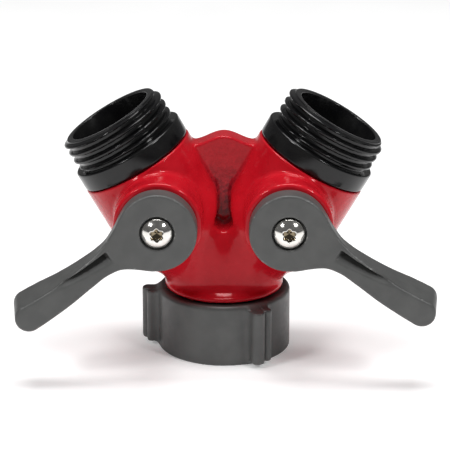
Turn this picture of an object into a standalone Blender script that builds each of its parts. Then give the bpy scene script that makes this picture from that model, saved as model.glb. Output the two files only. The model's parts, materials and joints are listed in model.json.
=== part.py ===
"""Two-outlet garden hose splitter with a quarter-turn ball valve in each arm.

The port axis is vertical. The swivel nut is at the bottom, the two outlets lean outwards, and
the levers are on the -Y side. Z = 0 is the underside of the swivel nut. All values are metres.
"""

import math

import bmesh
import bpy
from mathutils import Matrix

# --- clearances and resolution -------------------------------------------------------------
GAP = 0.0003                    # between pieces that touch or run on each other
ROUND = 28                      # sides of the large round pieces
SMALL_ROUND = 16                # sides of stems, washers and screws
BALL_ROUND = 24                 # sides of the balls and their seats
FORM_TWIST = 0.37               # share of a facet that round forms are turned
CUT_TWIST = 0.15                # the same for the bores cut into them
CUT_PAST = 0.0010               # how far a cutter runs past the face it opens
RING_SIDES = 5                  # sides of an O-ring's cord

# --- layout --------------------------------------------------------------------------------
PORT_Y = 0.0062                 # the port axis, so that the whole part is centred on the origin
ARM_TILT = math.radians(30.0)   # each outlet axis from the vertical
ARM_CROSS_Z = 0.0108            # where the two outlet axes cross the port axis
BALL_REACH = 0.0312             # from that crossing to a ball's centre, along the arm
BALL_X = BALL_REACH * math.sin(ARM_TILT)
BALL_Z = ARM_CROSS_Z + BALL_REACH * math.cos(ARM_TILT)
LEVER_DROOP = {1: math.radians(0.0), -1: math.radians(3.0)}   # past square when closed

# --- cast body -----------------------------------------------------------------------------
ARM_R = 0.0144                  # outside of each arm
ARM_TOP = 0.0115                # end of the arm, from the ball's centre
ARM_BOTTOM = -0.0050            # centre of the arm's round lower end
BOSS_R = 0.0107                 # stem boss behind the lever
BOSS_FACE = 0.0213              # its front face, from the port axis
BOSS_EDGE = 0.0009
BOSS_START = 0.0021
NECK_X = 0.0142                 # half width of the neck
NECK_DEPTH = 0.80               # its depth as a share of its width
NECK_STRAIGHT = 0.0220          # height where it starts to narrow between the arms
NECK_TOP = 0.0350
NECK_TOP_X = 0.0060
FLANGE_R = 0.0143
FLANGE_BOTTOM = 0.0156
FLANGE_LIP = 0.0010
FLANGE_FLARE = 0.0052
FLANGE_SWEEP = 54.0             # degrees of the flare's arc
FLANGE_CAP = 0.0040             # closing cone inside the neck
NECK_BOTTOM = 0.0163
WEB_HALF = 0.0030               # half thickness of the web between the arms
WEB_BOTTOM = 0.0280
WEB_BOTTOM_X = 0.0040
WEB_SIDE_Z = 0.0525             # its top edge beside the arms
WEB_SIDE_X = 0.0078
WEB_STEPS = 11
WEB_PEAK = 0.0548               # its top edge in the middle
WEB_WIDE = 0.0122
WEB_WIDE_Z = 0.0510
CAVITY_R = 0.0106               # ball chamber
SHOULDER = 0.0092               # chamber floor and outlet spigot, from the ball's centre
PASSAGE_R = 0.0063
PASSAGE_END = -0.0144           # lower end of the passage, from the ball's centre
INLET_BORE_R = 0.0099
INLET_BORE_TOP = 0.0236
CHAMBER_R = 0.0090
CHAMBER_TOP = 0.0268
CHAMBER_BEVEL = 0.0030
STEM_BORE_START = 0.0040
STOP_INNER = 0.0068             # stop post on the boss's face
STOP_OUTER = 0.0082
STOP_HEIGHT = 0.0012
STOP_HALF_ANGLE = math.radians(8.0)

# --- ball, seats and stem ------------------------------------------------------------------
BALL_R = 0.0098
BALL_BORE_R = 0.0060
SEAT_R = 0.0103
SEAT_TOP = SHOULDER - GAP
SEAT_SKIRT = 0.0052
SLOT_HALF_WIDTH = 0.0016
SLOT_FLOOR = 0.0070
TANG_HALF_LENGTH = 0.0040
STEM_FLANGE_R = 0.0046
STEM_FLANGE_IN = BALL_R + GAP
STEM_FLANGE_OUT = 0.0116
STEM_R = 0.0037
STEM_CHAMBER_R = 0.0049
STEM_CHAMBER_OUT = 0.0130
STEM_GROOVE_IN = 0.0149
STEM_GROOVE_OUT = 0.0166
STEM_GROOVE_R = 0.0024
DRIVE_R = 0.0029                # double-D end that carries the lever
DRIVE_FLAT = 0.0023
DRIVE_END = 0.0251
TAPPED_R = 0.0018
TAPPED_DEPTH = 0.0069
WASHER_THICK = 0.0008
STEM_RING = (0.0032, 0.00055)   # O-rings: middle radius, cord radius

# --- outlet --------------------------------------------------------------------------------
COLLAR_BOTTOM = ARM_TOP + GAP
COLLAR_TOP = 0.0164
COLLAR_R = 0.0143
COLLAR_EDGE = 0.0009
SPIGOT_R = CAVITY_R - GAP
RIM_TOP = 0.0247
RIM_R = 0.01205
OUTLET_BORE_R = 0.01044
OUTLET_CONE_TOP = 0.0150
OUTLET_CONE_BOTTOM = 0.0112
OUTLET_GROOVE = (0.0097, 0.0111)
OUTLET_GROOVE_R = 0.0090
OUTLET_RING = (0.0098, 0.00045)
RIM_EDGE = 0.0002

# --- garden hose thread, 11.5 turns to the inch ----------------------------------------------
PITCH = 0.0254 / 11.5
MALE_CREST_R = 0.01345
MALE_ROOT_R = RIM_R
FEMALE_ROOT_R = 0.01370
FEMALE_CREST_R = 0.01235
CREST_SHARE = 0.16              # share of a pitch that is flat crest
ROOT_SHARE = 0.30               # share of a pitch that is flat root
THREAD_FADE = 0.35              # turns over which the ridge rises and falls
THREAD_LEAD = 0.1               # turns from the wall's lower end to the ridge
THREAD_SPARE = 1.2              # turns of the wall that carry no ridge

# --- swivel nut, tailpiece and washer --------------------------------------------------------
NUT_R = 0.0164
NUT_HEIGHT = 0.0153
NUT_EDGE = 0.0007
NUT_LIP_BOTTOM = 0.0129
NUT_LIP_BORE = 0.0100
NUT_THREAD = (0.0010, 0.0104)
NUT_FOOT_EDGE = 0.0004
LUG_BOTTOM = 0.0010
LUG_TOP = 0.0144
LUG_COUNT = 3
LUG_ANGLE = math.radians(26.5)  # first lug's main rib, to the right of the front
LUG_STEP = math.radians(9.1)    # from a main rib to its narrow rib
MAIN_RIB_R = 0.0016
MAIN_RIB_AT = 0.0189
NARROW_RIB_R = 0.0011
NARROW_RIB_AT = 0.0182
PAD_DEPTH = 0.0010              # how far a lug's foot runs into the nut
PAD_LOW = 0.0032
PAD_EDGE = 0.0026
PAD_PAST = math.radians(5.0)
SLEEVE_R = 0.0096
SLEEVE_BORE_R = 0.0075
SLEEVE_TOP = INLET_BORE_TOP - GAP
TAIL_FLANGE_R = 0.0120
TAIL_FLANGE = (0.0106, 0.0126)
TAIL_GROOVE = (0.0186, 0.0204)
TAIL_GROOVE_R = 0.0083
TAIL_RING = (0.0091, 0.00055)
HOSE_WASHER = (0.0079, 0.0103)

# --- lever and screw -------------------------------------------------------------------------
HUB_R = 0.0095
HUB_BACK = BOSS_FACE + GAP
HUB_FRONT = 0.0266
HUB_EDGE = 0.0007
HEAD_R = 0.0036
HEAD_RECESS_R = 0.0043
HEAD_SEAT = 0.0254
HEAD_HEIGHT = 0.0022
HEAD_RIM = 0.0004
DOME_ANGLE = math.radians(66.0)
TORX_R = 0.00135
TORX_WAIST = 0.74               # the star's inner radius as a share of its outer
TORX_DEPTH = 0.0011
SCREW_R = 0.0015
SCREW_TIP = 0.0187
SCREW_POINT = 0.0004
QUARTER = math.radians(90.0)
STOP_PLAY = math.radians(2.0)
# stations along the lever: reach, upper edge, lower edge, front face, back face
LEVER_STATIONS = (
    (0.0060, 0.0068, -0.0068, 0.0264, 0.0219),
    (0.0090, 0.0057, -0.0050, 0.0265, 0.0219),
    (0.0120, 0.0044, -0.0031, 0.0268, 0.0218),
    (0.0150, 0.0038, -0.0024, 0.0274, 0.0218),
    (0.0200, 0.0035, -0.0026, 0.0284, 0.0218),
    (0.0260, 0.0036, -0.0032, 0.0294, 0.0218),
    (0.0330, 0.0043, -0.0036, 0.0300, 0.0219),
    (0.0370, 0.0045, -0.0036, 0.0300, 0.0220),
    (0.0393, 0.0037, -0.0028, 0.0298, 0.0222),
    (0.0404, 0.0020, -0.0014, 0.0293, 0.0226),
)
UPPER_LEAN = 0.0014             # how far the front's upper edge lies below the back's
LEAN_START = 0.0120
LEAN_RUN = 0.0100
LEVER_EDGE = 0.0008
EDGE_SHARE = 0.3                # most of the arm's height that an edge may take
# stations along the pocket in its front: reach, lower edge, upper edge, floor
POCKET_STATIONS = (
    (0.0118, 0.0006, 0.0026, 0.0240),
    (0.0200, 0.0010, 0.0020, 0.0258),
    (0.0262, 0.0014, 0.0018, 0.0290),
)
POCKET_MOUTH = 0.0310

# --- colours ---------------------------------------------------------------------------------
RED = (0.55, 0.01, 0.02)
BLACK = (0.012, 0.012, 0.013)
GREY = (0.085, 0.085, 0.082)
STEEL = (0.62, 0.61, 0.58)
BRASS = (0.60, 0.43, 0.20)
WHITE = (0.78, 0.77, 0.74)
RUBBER = (0.02, 0.02, 0.02)


def clear_scene():
    for obj in list(bpy.data.objects):
        bpy.data.objects.remove(obj, do_unlink=True)


def material(name, colour, roughness, metallic):
    made = bpy.data.materials.new(name)
    made.use_nodes = True
    shader = made.node_tree.nodes["Principled BSDF"]
    shader.inputs["Base Color"].default_value = (*colour, 1.0)
    shader.inputs["Roughness"].default_value = roughness
    shader.inputs["Metallic"].default_value = metallic
    return made


def add_object(name, bm, finish=None, matrix=None):
    """A closed bmesh becomes an object. One without a finish is a cutter or a guide."""
    bmesh.ops.recalc_face_normals(bm, faces=bm.faces)
    mesh = bpy.data.meshes.new(name)
    bm.to_mesh(mesh)
    bm.free()
    mesh.shade_smooth()
    mesh.set_sharp_from_angle(angle=math.radians(35.0))
    obj = bpy.data.objects.new(name, mesh)
    bpy.context.scene.collection.objects.link(obj)
    if matrix is not None:
        obj.matrix_world = matrix
    if finish is None:
        obj.hide_render = True
        obj.display_type = "WIRE"
    else:
        mesh.materials.append(finish)
    return obj


def combine(obj, tool, operation):
    modifier = obj.modifiers.new(tool.name, "BOOLEAN")
    modifier.object = tool
    modifier.operation = operation
    modifier.solver = "EXACT"


def turned(profile, sides):
    """Solid of revolution about Z from an outline of (radius, height) points.

    An outline that starts and ends on the axis gets a flat cap at each end.
    """
    bm = bmesh.new()
    capped = profile[0][0] < 1e-9 and profile[-1][0] < 1e-9
    chain = profile[1:-1] if capped else profile
    verts = [bm.verts.new((radius, 0.0, height)) for radius, height in chain]
    edges = [bm.edges.new(pair) for pair in zip(verts, verts[1:])]
    if not capped:
        edges.append(bm.edges.new((verts[-1], verts[0])))
    bmesh.ops.rotate(bm, verts=verts, matrix=Matrix.Rotation(math.pi / sides, 3, "Z"))
    bmesh.ops.spin(
        bm, geom=verts + edges, axis=(0, 0, 1), cent=(0, 0, 0),
        angle=math.tau, steps=sides, use_merge=True)
    bmesh.ops.remove_doubles(bm, verts=bm.verts, dist=1e-7)
    if capped:
        bmesh.ops.holes_fill(bm, edges=bm.edges, sides=0)
    return bm


def rod(radius, bottom, top, sides):
    return turned([(0, bottom), (radius, bottom), (radius, top), (0, top)], sides)


def quarter_arc(centre, radius, start, end, steps):
    """Points on an arc in a profile, angles in degrees."""
    points = []
    for step in range(steps + 1):
        angle = math.radians(start + (end - start) * step / steps)
        points.append((centre[0] + radius * math.cos(angle), centre[1] + radius * math.sin(angle)))
    return points


def prism(outline, low, high):
    """Upright prism over an outline of (x, y) points."""
    bm = bmesh.new()
    verts = [bm.verts.new((x, y, low)) for x, y in outline]
    face = bm.faces.new(verts)
    pushed = bmesh.ops.extrude_face_region(bm, geom=[face])
    moved = [item for item in pushed["geom"] if isinstance(item, bmesh.types.BMVert)]
    bmesh.ops.translate(bm, verts=moved, vec=(0, 0, high - low))
    return bm


def o_ring(ring_radius, cord_radius, height, sides):
    profile = quarter_arc((ring_radius, height), cord_radius, 0, 360, RING_SIDES)[:-1]
    return turned(profile, sides)


def port_frame():
    return Matrix.Translation((0, PORT_Y, 0))


def arm_frame(side):
    """Origin at a ball's centre, Z along the outlet. Side is 1 on the right and -1 on the left."""
    place = Matrix.Translation((side * BALL_X, PORT_Y, BALL_Z))
    return place @ Matrix.Rotation(side * ARM_TILT, 4, "Y")


def forwards(frame):
    """The same frame turned so that its Z points to the front, along the stem."""
    return frame @ Matrix.Rotation(math.radians(90.0), 4, "X")


def stem_frame(side):
    return forwards(arm_frame(side))


def valve_frame(side):
    """As arm_frame, for the pieces that turn with the lever: X is along the lever at rest."""
    return arm_frame(side) @ Matrix.Rotation(side * LEVER_DROOP[side], 4, "Y")


def drive_frame(side):
    return forwards(valve_frame(side))


# --- threads ---------------------------------------------------------------------------------

def ridge_height(turns, total_turns):
    """The ridge's share of its full height, rising from and falling to nothing at its ends."""
    rise = min(1.0, turns / THREAD_FADE, (total_turns - turns) / THREAD_FADE)
    return max(0.0, rise)


def threaded_wall(bm, root, crest, low, high, sides):
    """Helical wall between two heights. Returns its lower and upper rings of vertices."""
    flank = (1.0 - CREST_SHARE - ROOT_SHARE) / 2.0
    shares = (0.0, ROOT_SHARE, ROOT_SHARE + flank, ROOT_SHARE + flank + CREST_SHARE)
    on_crest = (False, False, True, True)
    total_turns = (high - low) / PITCH - THREAD_SPARE
    row_count = int(total_turns) * 4 + 1
    total_turns = row_count // 4
    rows = []
    for row in range(row_count):
        verts = []
        for side in range(sides):
            turn = row // 4 + side / sides
            share = ridge_height(turn, total_turns + 1.0)
            radius = root + (crest - root) * share * on_crest[row % 4]
            angle = math.tau * side / sides
            height = low + PITCH * (THREAD_LEAD + turn + shares[row % 4])
            place = (radius * math.cos(angle), radius * math.sin(angle), height)
            verts.append(bm.verts.new(place))
        rows.append(verts)
    for row in range(row_count - 1):
        for side in range(sides - 1):
            a, b = rows[row][side], rows[row][side + 1]
            bm.faces.new((a, b, rows[row + 1][side + 1], rows[row + 1][side]))
    for row in range(row_count - 5):
        a, b = rows[row][-1], rows[row + 4][0]
        bm.faces.new((a, b, rows[row + 5][0], rows[row + 1][-1]))
    bottom = [bm.verts.new(ring_point(root, low, side, sides)) for side in range(sides)]
    top = [bm.verts.new(ring_point(root, high, side, sides)) for side in range(sides)]
    for side in range(sides - 1):
        bm.faces.new((bottom[side], bottom[side + 1], rows[0][side + 1], rows[0][side]))
        bm.faces.new((rows[-1][side], rows[-1][side + 1], top[side + 1], top[side]))
    start = [rows[row][0] for row in range(4, -1, -1)]
    bm.faces.new([rows[0][-1], bottom[-1], bottom[0]] + start[::-1])
    ending = [rows[row][-1] for row in range(row_count - 1, row_count - 6, -1)]
    bm.faces.new([rows[-1][0], top[0], top[-1]] + ending)
    return bottom, top


def ring_point(radius, height, side, sides):
    angle = math.tau * side / sides
    return (radius * math.cos(angle), radius * math.sin(angle), height)


def stack_rings(bm, first, profile, sides):
    """Rings of quads from a ring of vertices along (radius, height) points. Returns the last."""
    current = first
    for radius, height in profile:
        following = [bm.verts.new(ring_point(radius, height, side, sides)) for side in range(sides)]
        join_rings(bm, current, following)
        current = following
    return current


def join_rings(bm, lower, upper):
    sides = len(lower)
    for side in range(sides):
        after = (side + 1) % sides
        bm.faces.new((lower[side], lower[after], upper[after], upper[side]))


# --- cast body -------------------------------------------------------------------------------

def flange_profile():
    """Bell-shaped flange: a thin lip that sweeps up into the neck."""
    top = FLANGE_BOTTOM + FLANGE_LIP
    waist = NECK_X * NECK_DEPTH - GAP
    centre = (waist + FLANGE_FLARE, top + FLANGE_FLARE)
    sweep = quarter_arc(centre, FLANGE_FLARE, 180 + FLANGE_SWEEP, 180, 5)
    outer = [(0, FLANGE_BOTTOM), (FLANGE_R, FLANGE_BOTTOM), (FLANGE_R, top)]
    cap = NECK_STRAIGHT + FLANGE_CAP
    return outer + sweep + [(waist, NECK_STRAIGHT), (waist - FLANGE_CAP, cap), (0, cap)]


def neck_profile():
    swell = [(NECK_X * math.cos(angle) + NECK_TOP_X * (1 - math.cos(angle)),
              NECK_STRAIGHT + (NECK_TOP - NECK_STRAIGHT) * math.sin(angle))
             for angle in (math.radians(step * 22.5) for step in range(5))]
    return [(0, NECK_BOTTOM), (NECK_X, NECK_BOTTOM)] + swell + [(0, NECK_TOP)]


def arm_profile():
    lower = quarter_arc((0, ARM_BOTTOM), ARM_R, -78, 0, 6)
    return [(0, lower[0][1])] + lower + [(ARM_R, ARM_TOP), (0, ARM_TOP)]


def boss_profile():
    edge = quarter_arc((BOSS_R - BOSS_EDGE, BOSS_FACE - BOSS_EDGE), BOSS_EDGE, 0, 90, 2)
    return [(0, BOSS_START), (BOSS_R, BOSS_START)] + edge + [(0, BOSS_FACE)]


def web_outline():
    """The web's face: straight sides inside the arms and a raised middle."""
    top = []
    for step in range(WEB_STEPS + 1):
        x = WEB_SIDE_X * (1.0 - 2.0 * step / WEB_STEPS)
        swell = 0.5 + 0.5 * math.cos(math.pi * x / WEB_SIDE_X)
        top.append((x, WEB_SIDE_Z + (WEB_PEAK - WEB_SIDE_Z) * swell))
    foot = [(-WEB_BOTTOM_X, WEB_BOTTOM), (WEB_BOTTOM_X, WEB_BOTTOM)]
    return foot + [(WEB_WIDE, WEB_WIDE_Z)] + top + [(-WEB_WIDE, WEB_WIDE_Z)]


def sector(inner, outer, start, end, low, high):
    steps = 8
    angles = [start + (end - start) * step / steps for step in range(steps + 1)]
    far = [(outer * math.cos(angle), outer * math.sin(angle)) for angle in angles]
    near = [(inner * math.cos(angle), inner * math.sin(angle)) for angle in reversed(angles)]
    return prism(far + near, low, high)


def stop_angle(side):
    """Where the stop post stands on the boss, measured from the closed lever in stem_frame."""
    return math.radians(90.0) + side * math.radians(45.0)


def facet_twist(share, side):
    """A turn about a round form's own axis, so that its edges don't lie on another form's."""
    return Matrix.Rotation(share * side * math.tau / ROUND, 4, "Z")


def add_body(finish):
    """The two sides' facets are turned a little apart, so no two edges lie on each other."""
    body = add_object("body", turned(flange_profile(), ROUND), finish, port_frame())
    neck = turned(neck_profile(), ROUND)
    bmesh.ops.scale(neck, verts=neck.verts, vec=(1.0, NECK_DEPTH, 1.0))
    combine(body, add_object("neck_form", neck, matrix=port_frame()), "UNION")
    for side, label in ((1, "right"), (-1, "left")):
        twist = facet_twist(FORM_TWIST, side)
        arm = turned(arm_profile(), ROUND)
        form = add_object(label + "_arm_form", arm, matrix=arm_frame(side) @ twist)
        combine(body, form, "UNION")
        boss = turned(boss_profile(), ROUND)
        form = add_object(label + "_boss_form", boss, matrix=stem_frame(side) @ twist)
        combine(body, form, "UNION")
    web = prism(web_outline(), -WEB_HALF, WEB_HALF)
    upright = port_frame() @ Matrix.Rotation(math.radians(90.0), 4, "X")
    combine(body, add_object("web_form", web, matrix=upright), "UNION")
    for side, label in ((1, "right"), (-1, "left")):
        middle = stop_angle(side)
        post = sector(STOP_INNER, STOP_OUTER, middle - STOP_HALF_ANGLE, middle + STOP_HALF_ANGLE,
                      BOSS_FACE - CUT_PAST, BOSS_FACE + STOP_HEIGHT)
        combine(body, add_object(label + "_stop_form", post, matrix=stem_frame(side)), "UNION")
    cut_waterways(body)


def cut_waterways(body):
    mouth = FLANGE_BOTTOM - CUT_PAST
    inlet = turned([(0, mouth), (INLET_BORE_R, mouth),
                    (INLET_BORE_R, INLET_BORE_TOP), (CHAMBER_R, INLET_BORE_TOP),
                    (CHAMBER_R, CHAMBER_TOP - CHAMBER_BEVEL),
                    (CHAMBER_R - CHAMBER_BEVEL, CHAMBER_TOP),
                    (0, CHAMBER_TOP)], ROUND)
    combine(body, add_object("inlet_cut", inlet, matrix=port_frame()), "DIFFERENCE")
    for side, label in ((1, "right"), (-1, "left")):
        twist = facet_twist(CUT_TWIST, side)
        chamber = turned([(0, PASSAGE_END), (PASSAGE_R, PASSAGE_END), (PASSAGE_R, -SHOULDER),
                          (CAVITY_R, -SHOULDER), (CAVITY_R, ARM_TOP + CUT_PAST),
                          (0, ARM_TOP + CUT_PAST)], ROUND)
        cut = add_object(label + "_chamber_cut", chamber, matrix=arm_frame(side) @ twist)
        combine(body, cut, "DIFFERENCE")
        open_end = BOSS_FACE + STOP_HEIGHT + CUT_PAST
        bore = turned([(0, STEM_BORE_START), (STEM_CHAMBER_R, STEM_BORE_START),
                       (STEM_CHAMBER_R, STEM_CHAMBER_OUT), (STEM_R + GAP, STEM_CHAMBER_OUT),
                       (STEM_R + GAP, open_end), (0, open_end)], SMALL_ROUND)
        cut = add_object(label + "_stem_cut", bore, matrix=stem_frame(side) @ twist)
        combine(body, cut, "DIFFERENCE")


# --- valve -----------------------------------------------------------------------------------

def add_ball(side, label, finish):
    """Ball at rest with its bore across the arm, so the valve is closed."""
    face = math.sqrt(BALL_R ** 2 - BALL_BORE_R ** 2)
    edge = math.degrees(math.asin(face / BALL_R))
    outer = quarter_arc((0, 0), BALL_R, -edge, edge, 8)
    bm = turned(outer, BALL_ROUND)
    bmesh.ops.rotate(bm, verts=bm.verts, matrix=Matrix.Rotation(math.radians(90.0), 3, "Y"))
    ball = add_object(label + "_ball", bm, finish, valve_frame(side))
    length = BALL_R + CUT_PAST
    outline = ((-length, -SLOT_HALF_WIDTH), (length, -SLOT_HALF_WIDTH),
               (length, SLOT_HALF_WIDTH), (-length, SLOT_HALF_WIDTH))
    slot = prism(outline, SLOT_FLOOR, BALL_R + CUT_PAST)
    combine(ball, add_object(label + "_slot_cut", slot, matrix=drive_frame(side)), "DIFFERENCE")


def seat_profile():
    """Seat ring: its hollow face follows the ball, one gap away from it."""
    reach = BALL_R + GAP
    inner_radius = PASSAGE_R
    skirt_angle = math.degrees(math.asin(SEAT_SKIRT / reach))
    throat_angle = math.degrees(math.acos(inner_radius / reach))
    hollow = quarter_arc((0, 0), reach, throat_angle, skirt_angle, 3)
    return hollow + [(SEAT_R, SEAT_SKIRT), (SEAT_R, SEAT_TOP), (inner_radius, SEAT_TOP)]


def add_seats(side, label, finish):
    add_object(label + "_outer_seat", turned(seat_profile(), BALL_ROUND), finish, arm_frame(side))
    flipped = arm_frame(side) @ Matrix.Rotation(math.pi, 4, "X")
    add_object(label + "_inner_seat", turned(seat_profile(), BALL_ROUND), finish, flipped)


def stem_profile():
    shoulder = BOSS_FACE - GAP
    hole_floor = DRIVE_END - TAPPED_DEPTH
    return [(0, STEM_FLANGE_IN), (STEM_FLANGE_R, STEM_FLANGE_IN), (STEM_FLANGE_R, STEM_FLANGE_OUT),
            (STEM_R, STEM_FLANGE_OUT), (STEM_R, STEM_GROOVE_IN), (STEM_GROOVE_R, STEM_GROOVE_IN),
            (STEM_GROOVE_R, STEM_GROOVE_OUT), (STEM_R, STEM_GROOVE_OUT), (STEM_R, shoulder),
            (DRIVE_R, shoulder), (DRIVE_R, DRIVE_END), (TAPPED_R, DRIVE_END),
            (TAPPED_R, hole_floor), (0, hole_floor)]


def add_stem(side, label, finish):
    form = turned(stem_profile(), SMALL_ROUND)
    stem = add_object(label + "_stem", form, finish, drive_frame(side))
    half = SLOT_HALF_WIDTH - GAP
    reach = TANG_HALF_LENGTH
    outline = ((-reach, -half), (reach, -half), (reach, half), (-reach, half))
    tang = prism(outline, SLOT_FLOOR + GAP, (STEM_FLANGE_IN + STEM_FLANGE_OUT) / 2.0)
    combine(stem, add_object(label + "_tang_form", tang, matrix=drive_frame(side)), "UNION")
    for edge in (1, -1):
        low, high = sorted((edge * DRIVE_FLAT, edge * 2.0 * DRIVE_R))
        wide = 2.0 * DRIVE_R
        outline = ((-wide, low), (wide, low), (wide, high), (-wide, high))
        flat = prism(outline, BOSS_FACE - GAP / 2.0, DRIVE_END + CUT_PAST)
        name = label + ("_upper" if edge > 0 else "_lower") + "_flat_cut"
        combine(stem, add_object(name, flat, matrix=drive_frame(side)), "DIFFERENCE")


def add_stem_seals(side, label, plastic, rubber):
    low = STEM_FLANGE_OUT + GAP
    high = low + WASHER_THICK
    inner = STEM_R + GAP
    profile = [(inner, low), (STEM_FLANGE_R, low), (STEM_FLANGE_R, high), (inner, high)]
    add_object(label + "_thrust_washer", turned(profile, SMALL_ROUND), plastic, stem_frame(side))
    middle = (STEM_GROOVE_IN + STEM_GROOVE_OUT) / 2.0
    ring = o_ring(*STEM_RING, middle, SMALL_ROUND)
    add_object(label + "_stem_o_ring", ring, rubber, stem_frame(side))


# --- outlet ----------------------------------------------------------------------------------

def add_outlet(side, label, plastic, rubber):
    bm = bmesh.new()
    thread_low = COLLAR_TOP + RIM_EDGE
    thread_high = RIM_TOP - 2.0 * RIM_EDGE
    bottom, top = threaded_wall(bm, MALE_ROOT_R, MALE_CREST_R, thread_low, thread_high, ROUND)
    rim = [(RIM_R - RIM_EDGE, RIM_TOP), (OUTLET_BORE_R, RIM_TOP), (OUTLET_BORE_R, OUTLET_CONE_TOP),
           (PASSAGE_R, OUTLET_CONE_BOTTOM), (PASSAGE_R, SHOULDER), (SPIGOT_R, SHOULDER),
           (SPIGOT_R, OUTLET_GROOVE[0]), (OUTLET_GROOVE_R, OUTLET_GROOVE[0]),
           (OUTLET_GROOVE_R, OUTLET_GROOVE[1]), (SPIGOT_R, OUTLET_GROOVE[1]),
           (SPIGOT_R, COLLAR_BOTTOM), (COLLAR_R, COLLAR_BOTTOM)]
    edge_centre = (COLLAR_R - COLLAR_EDGE, COLLAR_TOP - COLLAR_EDGE)
    collar_edge = quarter_arc(edge_centre, COLLAR_EDGE, 0, 90, 3)
    last = stack_rings(bm, top, rim + collar_edge + [(MALE_ROOT_R, COLLAR_TOP)], ROUND)
    join_rings(bm, last, bottom)
    add_object(label + "_outlet", bm, plastic, arm_frame(side))
    middle = (OUTLET_GROOVE[0] + OUTLET_GROOVE[1]) / 2.0
    ring = o_ring(*OUTLET_RING, middle, BALL_ROUND)
    add_object(label + "_outlet_o_ring", ring, rubber, arm_frame(side))


# --- inlet -----------------------------------------------------------------------------------

def lug_outline():
    """One grip lug: a wide rib and a narrow rib on a low pad, as seen from above."""
    wide = (0.0, MAIN_RIB_AT)
    narrow = (math.sin(LUG_STEP) * NARROW_RIB_AT, math.cos(LUG_STEP) * NARROW_RIB_AT)
    inside = NUT_R - PAD_DEPTH
    points = [(-PAD_LOW, math.sqrt(inside ** 2 - PAD_LOW ** 2)), (-PAD_EDGE, NUT_R)]
    points += quarter_arc(wide, MAIN_RIB_R, 180, 10, 7)
    points += quarter_arc(narrow, NARROW_RIB_R, 140, -20, 5)
    far = LUG_STEP + PAD_PAST
    points.append((math.sin(far) * NUT_R, math.cos(far) * NUT_R))
    points.append((math.sin(far) * inside, math.cos(far) * inside))
    return points


def add_nut(finish):
    bm = bmesh.new()
    bottom, top = threaded_wall(bm, FEMALE_ROOT_R, FEMALE_CREST_R, *NUT_THREAD, ROUND)
    wall = [(FEMALE_ROOT_R, NUT_LIP_BOTTOM), (NUT_LIP_BORE, NUT_LIP_BOTTOM),
            (NUT_LIP_BORE, NUT_HEIGHT)]
    edge = quarter_arc((NUT_R - NUT_EDGE, NUT_HEIGHT - NUT_EDGE), NUT_EDGE, 90, 0, 3)
    foot = [(NUT_R, NUT_FOOT_EDGE), (NUT_R - NUT_FOOT_EDGE, 0.0),
            (FEMALE_ROOT_R + NUT_FOOT_EDGE, 0.0)]
    last = stack_rings(bm, top, wall + edge + foot, ROUND)
    join_rings(bm, last, bottom)
    nut = add_object("swivel_nut", bm, finish, port_frame())
    for number in range(LUG_COUNT):
        turn = math.pi + LUG_ANGLE + number * math.tau / LUG_COUNT
        # the outline is drawn towards +Y and widens clockwise, as the front lug does from above
        form = prism([(-x, y) for x, y in lug_outline()], LUG_BOTTOM, LUG_TOP)
        place = port_frame() @ Matrix.Rotation(turn, 4, "Z")
        combine(nut, add_object("lug_form_%d" % number, form, matrix=place), "UNION")


def add_tailpiece(brass, rubber):
    profile = [(SLEEVE_BORE_R, TAIL_FLANGE[0]), (TAIL_FLANGE_R, TAIL_FLANGE[0]),
               (TAIL_FLANGE_R, TAIL_FLANGE[1]), (SLEEVE_R, TAIL_FLANGE[1]),
               (SLEEVE_R, TAIL_GROOVE[0]), (TAIL_GROOVE_R, TAIL_GROOVE[0]),
               (TAIL_GROOVE_R, TAIL_GROOVE[1]), (SLEEVE_R, TAIL_GROOVE[1]),
               (SLEEVE_R, SLEEVE_TOP), (SLEEVE_BORE_R, SLEEVE_TOP)]
    add_object("inlet_tailpiece", turned(profile, ROUND), brass, port_frame())
    middle = (TAIL_GROOVE[0] + TAIL_GROOVE[1]) / 2.0
    ring = o_ring(*TAIL_RING, middle, BALL_ROUND)
    add_object("tailpiece_o_ring", ring, rubber, port_frame())
    washer = [(SLEEVE_BORE_R, HOSE_WASHER[0]), (TAIL_FLANGE_R, HOSE_WASHER[0]),
              (TAIL_FLANGE_R, HOSE_WASHER[1]), (SLEEVE_BORE_R, HOSE_WASHER[1])]
    add_object("inlet_washer", turned(washer, ROUND), rubber, port_frame())


# --- lever -----------------------------------------------------------------------------------

def lever_arm(side):
    """Lofted arm, drawn with X along the lever, Z across it and Y towards the back."""
    bm = bmesh.new()
    rings = []
    for reach, upper, lower, front, back in LEVER_STATIONS:
        most = EDGE_SHARE * (upper - lower)
        edge = min(LEVER_EDGE, most)
        grown = min(1.0, max(0.0, (reach - LEAN_START) / LEAN_RUN))
        lean = min(UPPER_LEAN * grown, most)
        outline = ((-back, upper - edge), (-back - edge, upper),
                   (-front + edge, upper - lean), (-front, upper - lean - edge),
                   (-front, lower + edge), (-front + edge, lower),
                   (-back - edge, lower), (-back, lower + edge))
        rings.append([bm.verts.new((side * reach, y, z)) for y, z in outline])
    for lower_ring, upper_ring in zip(rings, rings[1:]):
        join_rings(bm, lower_ring, upper_ring)
    bm.faces.new(rings[0])
    bm.faces.new(rings[-1])
    return bm


def pocket(side):
    """Wedge-shaped pocket in the front of the arm, deepest beside the hub."""
    bm = bmesh.new()
    rings = []
    for reach, low, high, floor in POCKET_STATIONS:
        points = ((-floor, low), (-floor, high), (-POCKET_MOUTH, high), (-POCKET_MOUTH, low))
        rings.append([bm.verts.new((side * reach, y, z)) for y, z in points])
    for near, far in zip(rings, rings[1:]):
        join_rings(bm, near, far)
    bm.faces.new(rings[0])
    bm.faces.new(rings[-1])
    return bm


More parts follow.
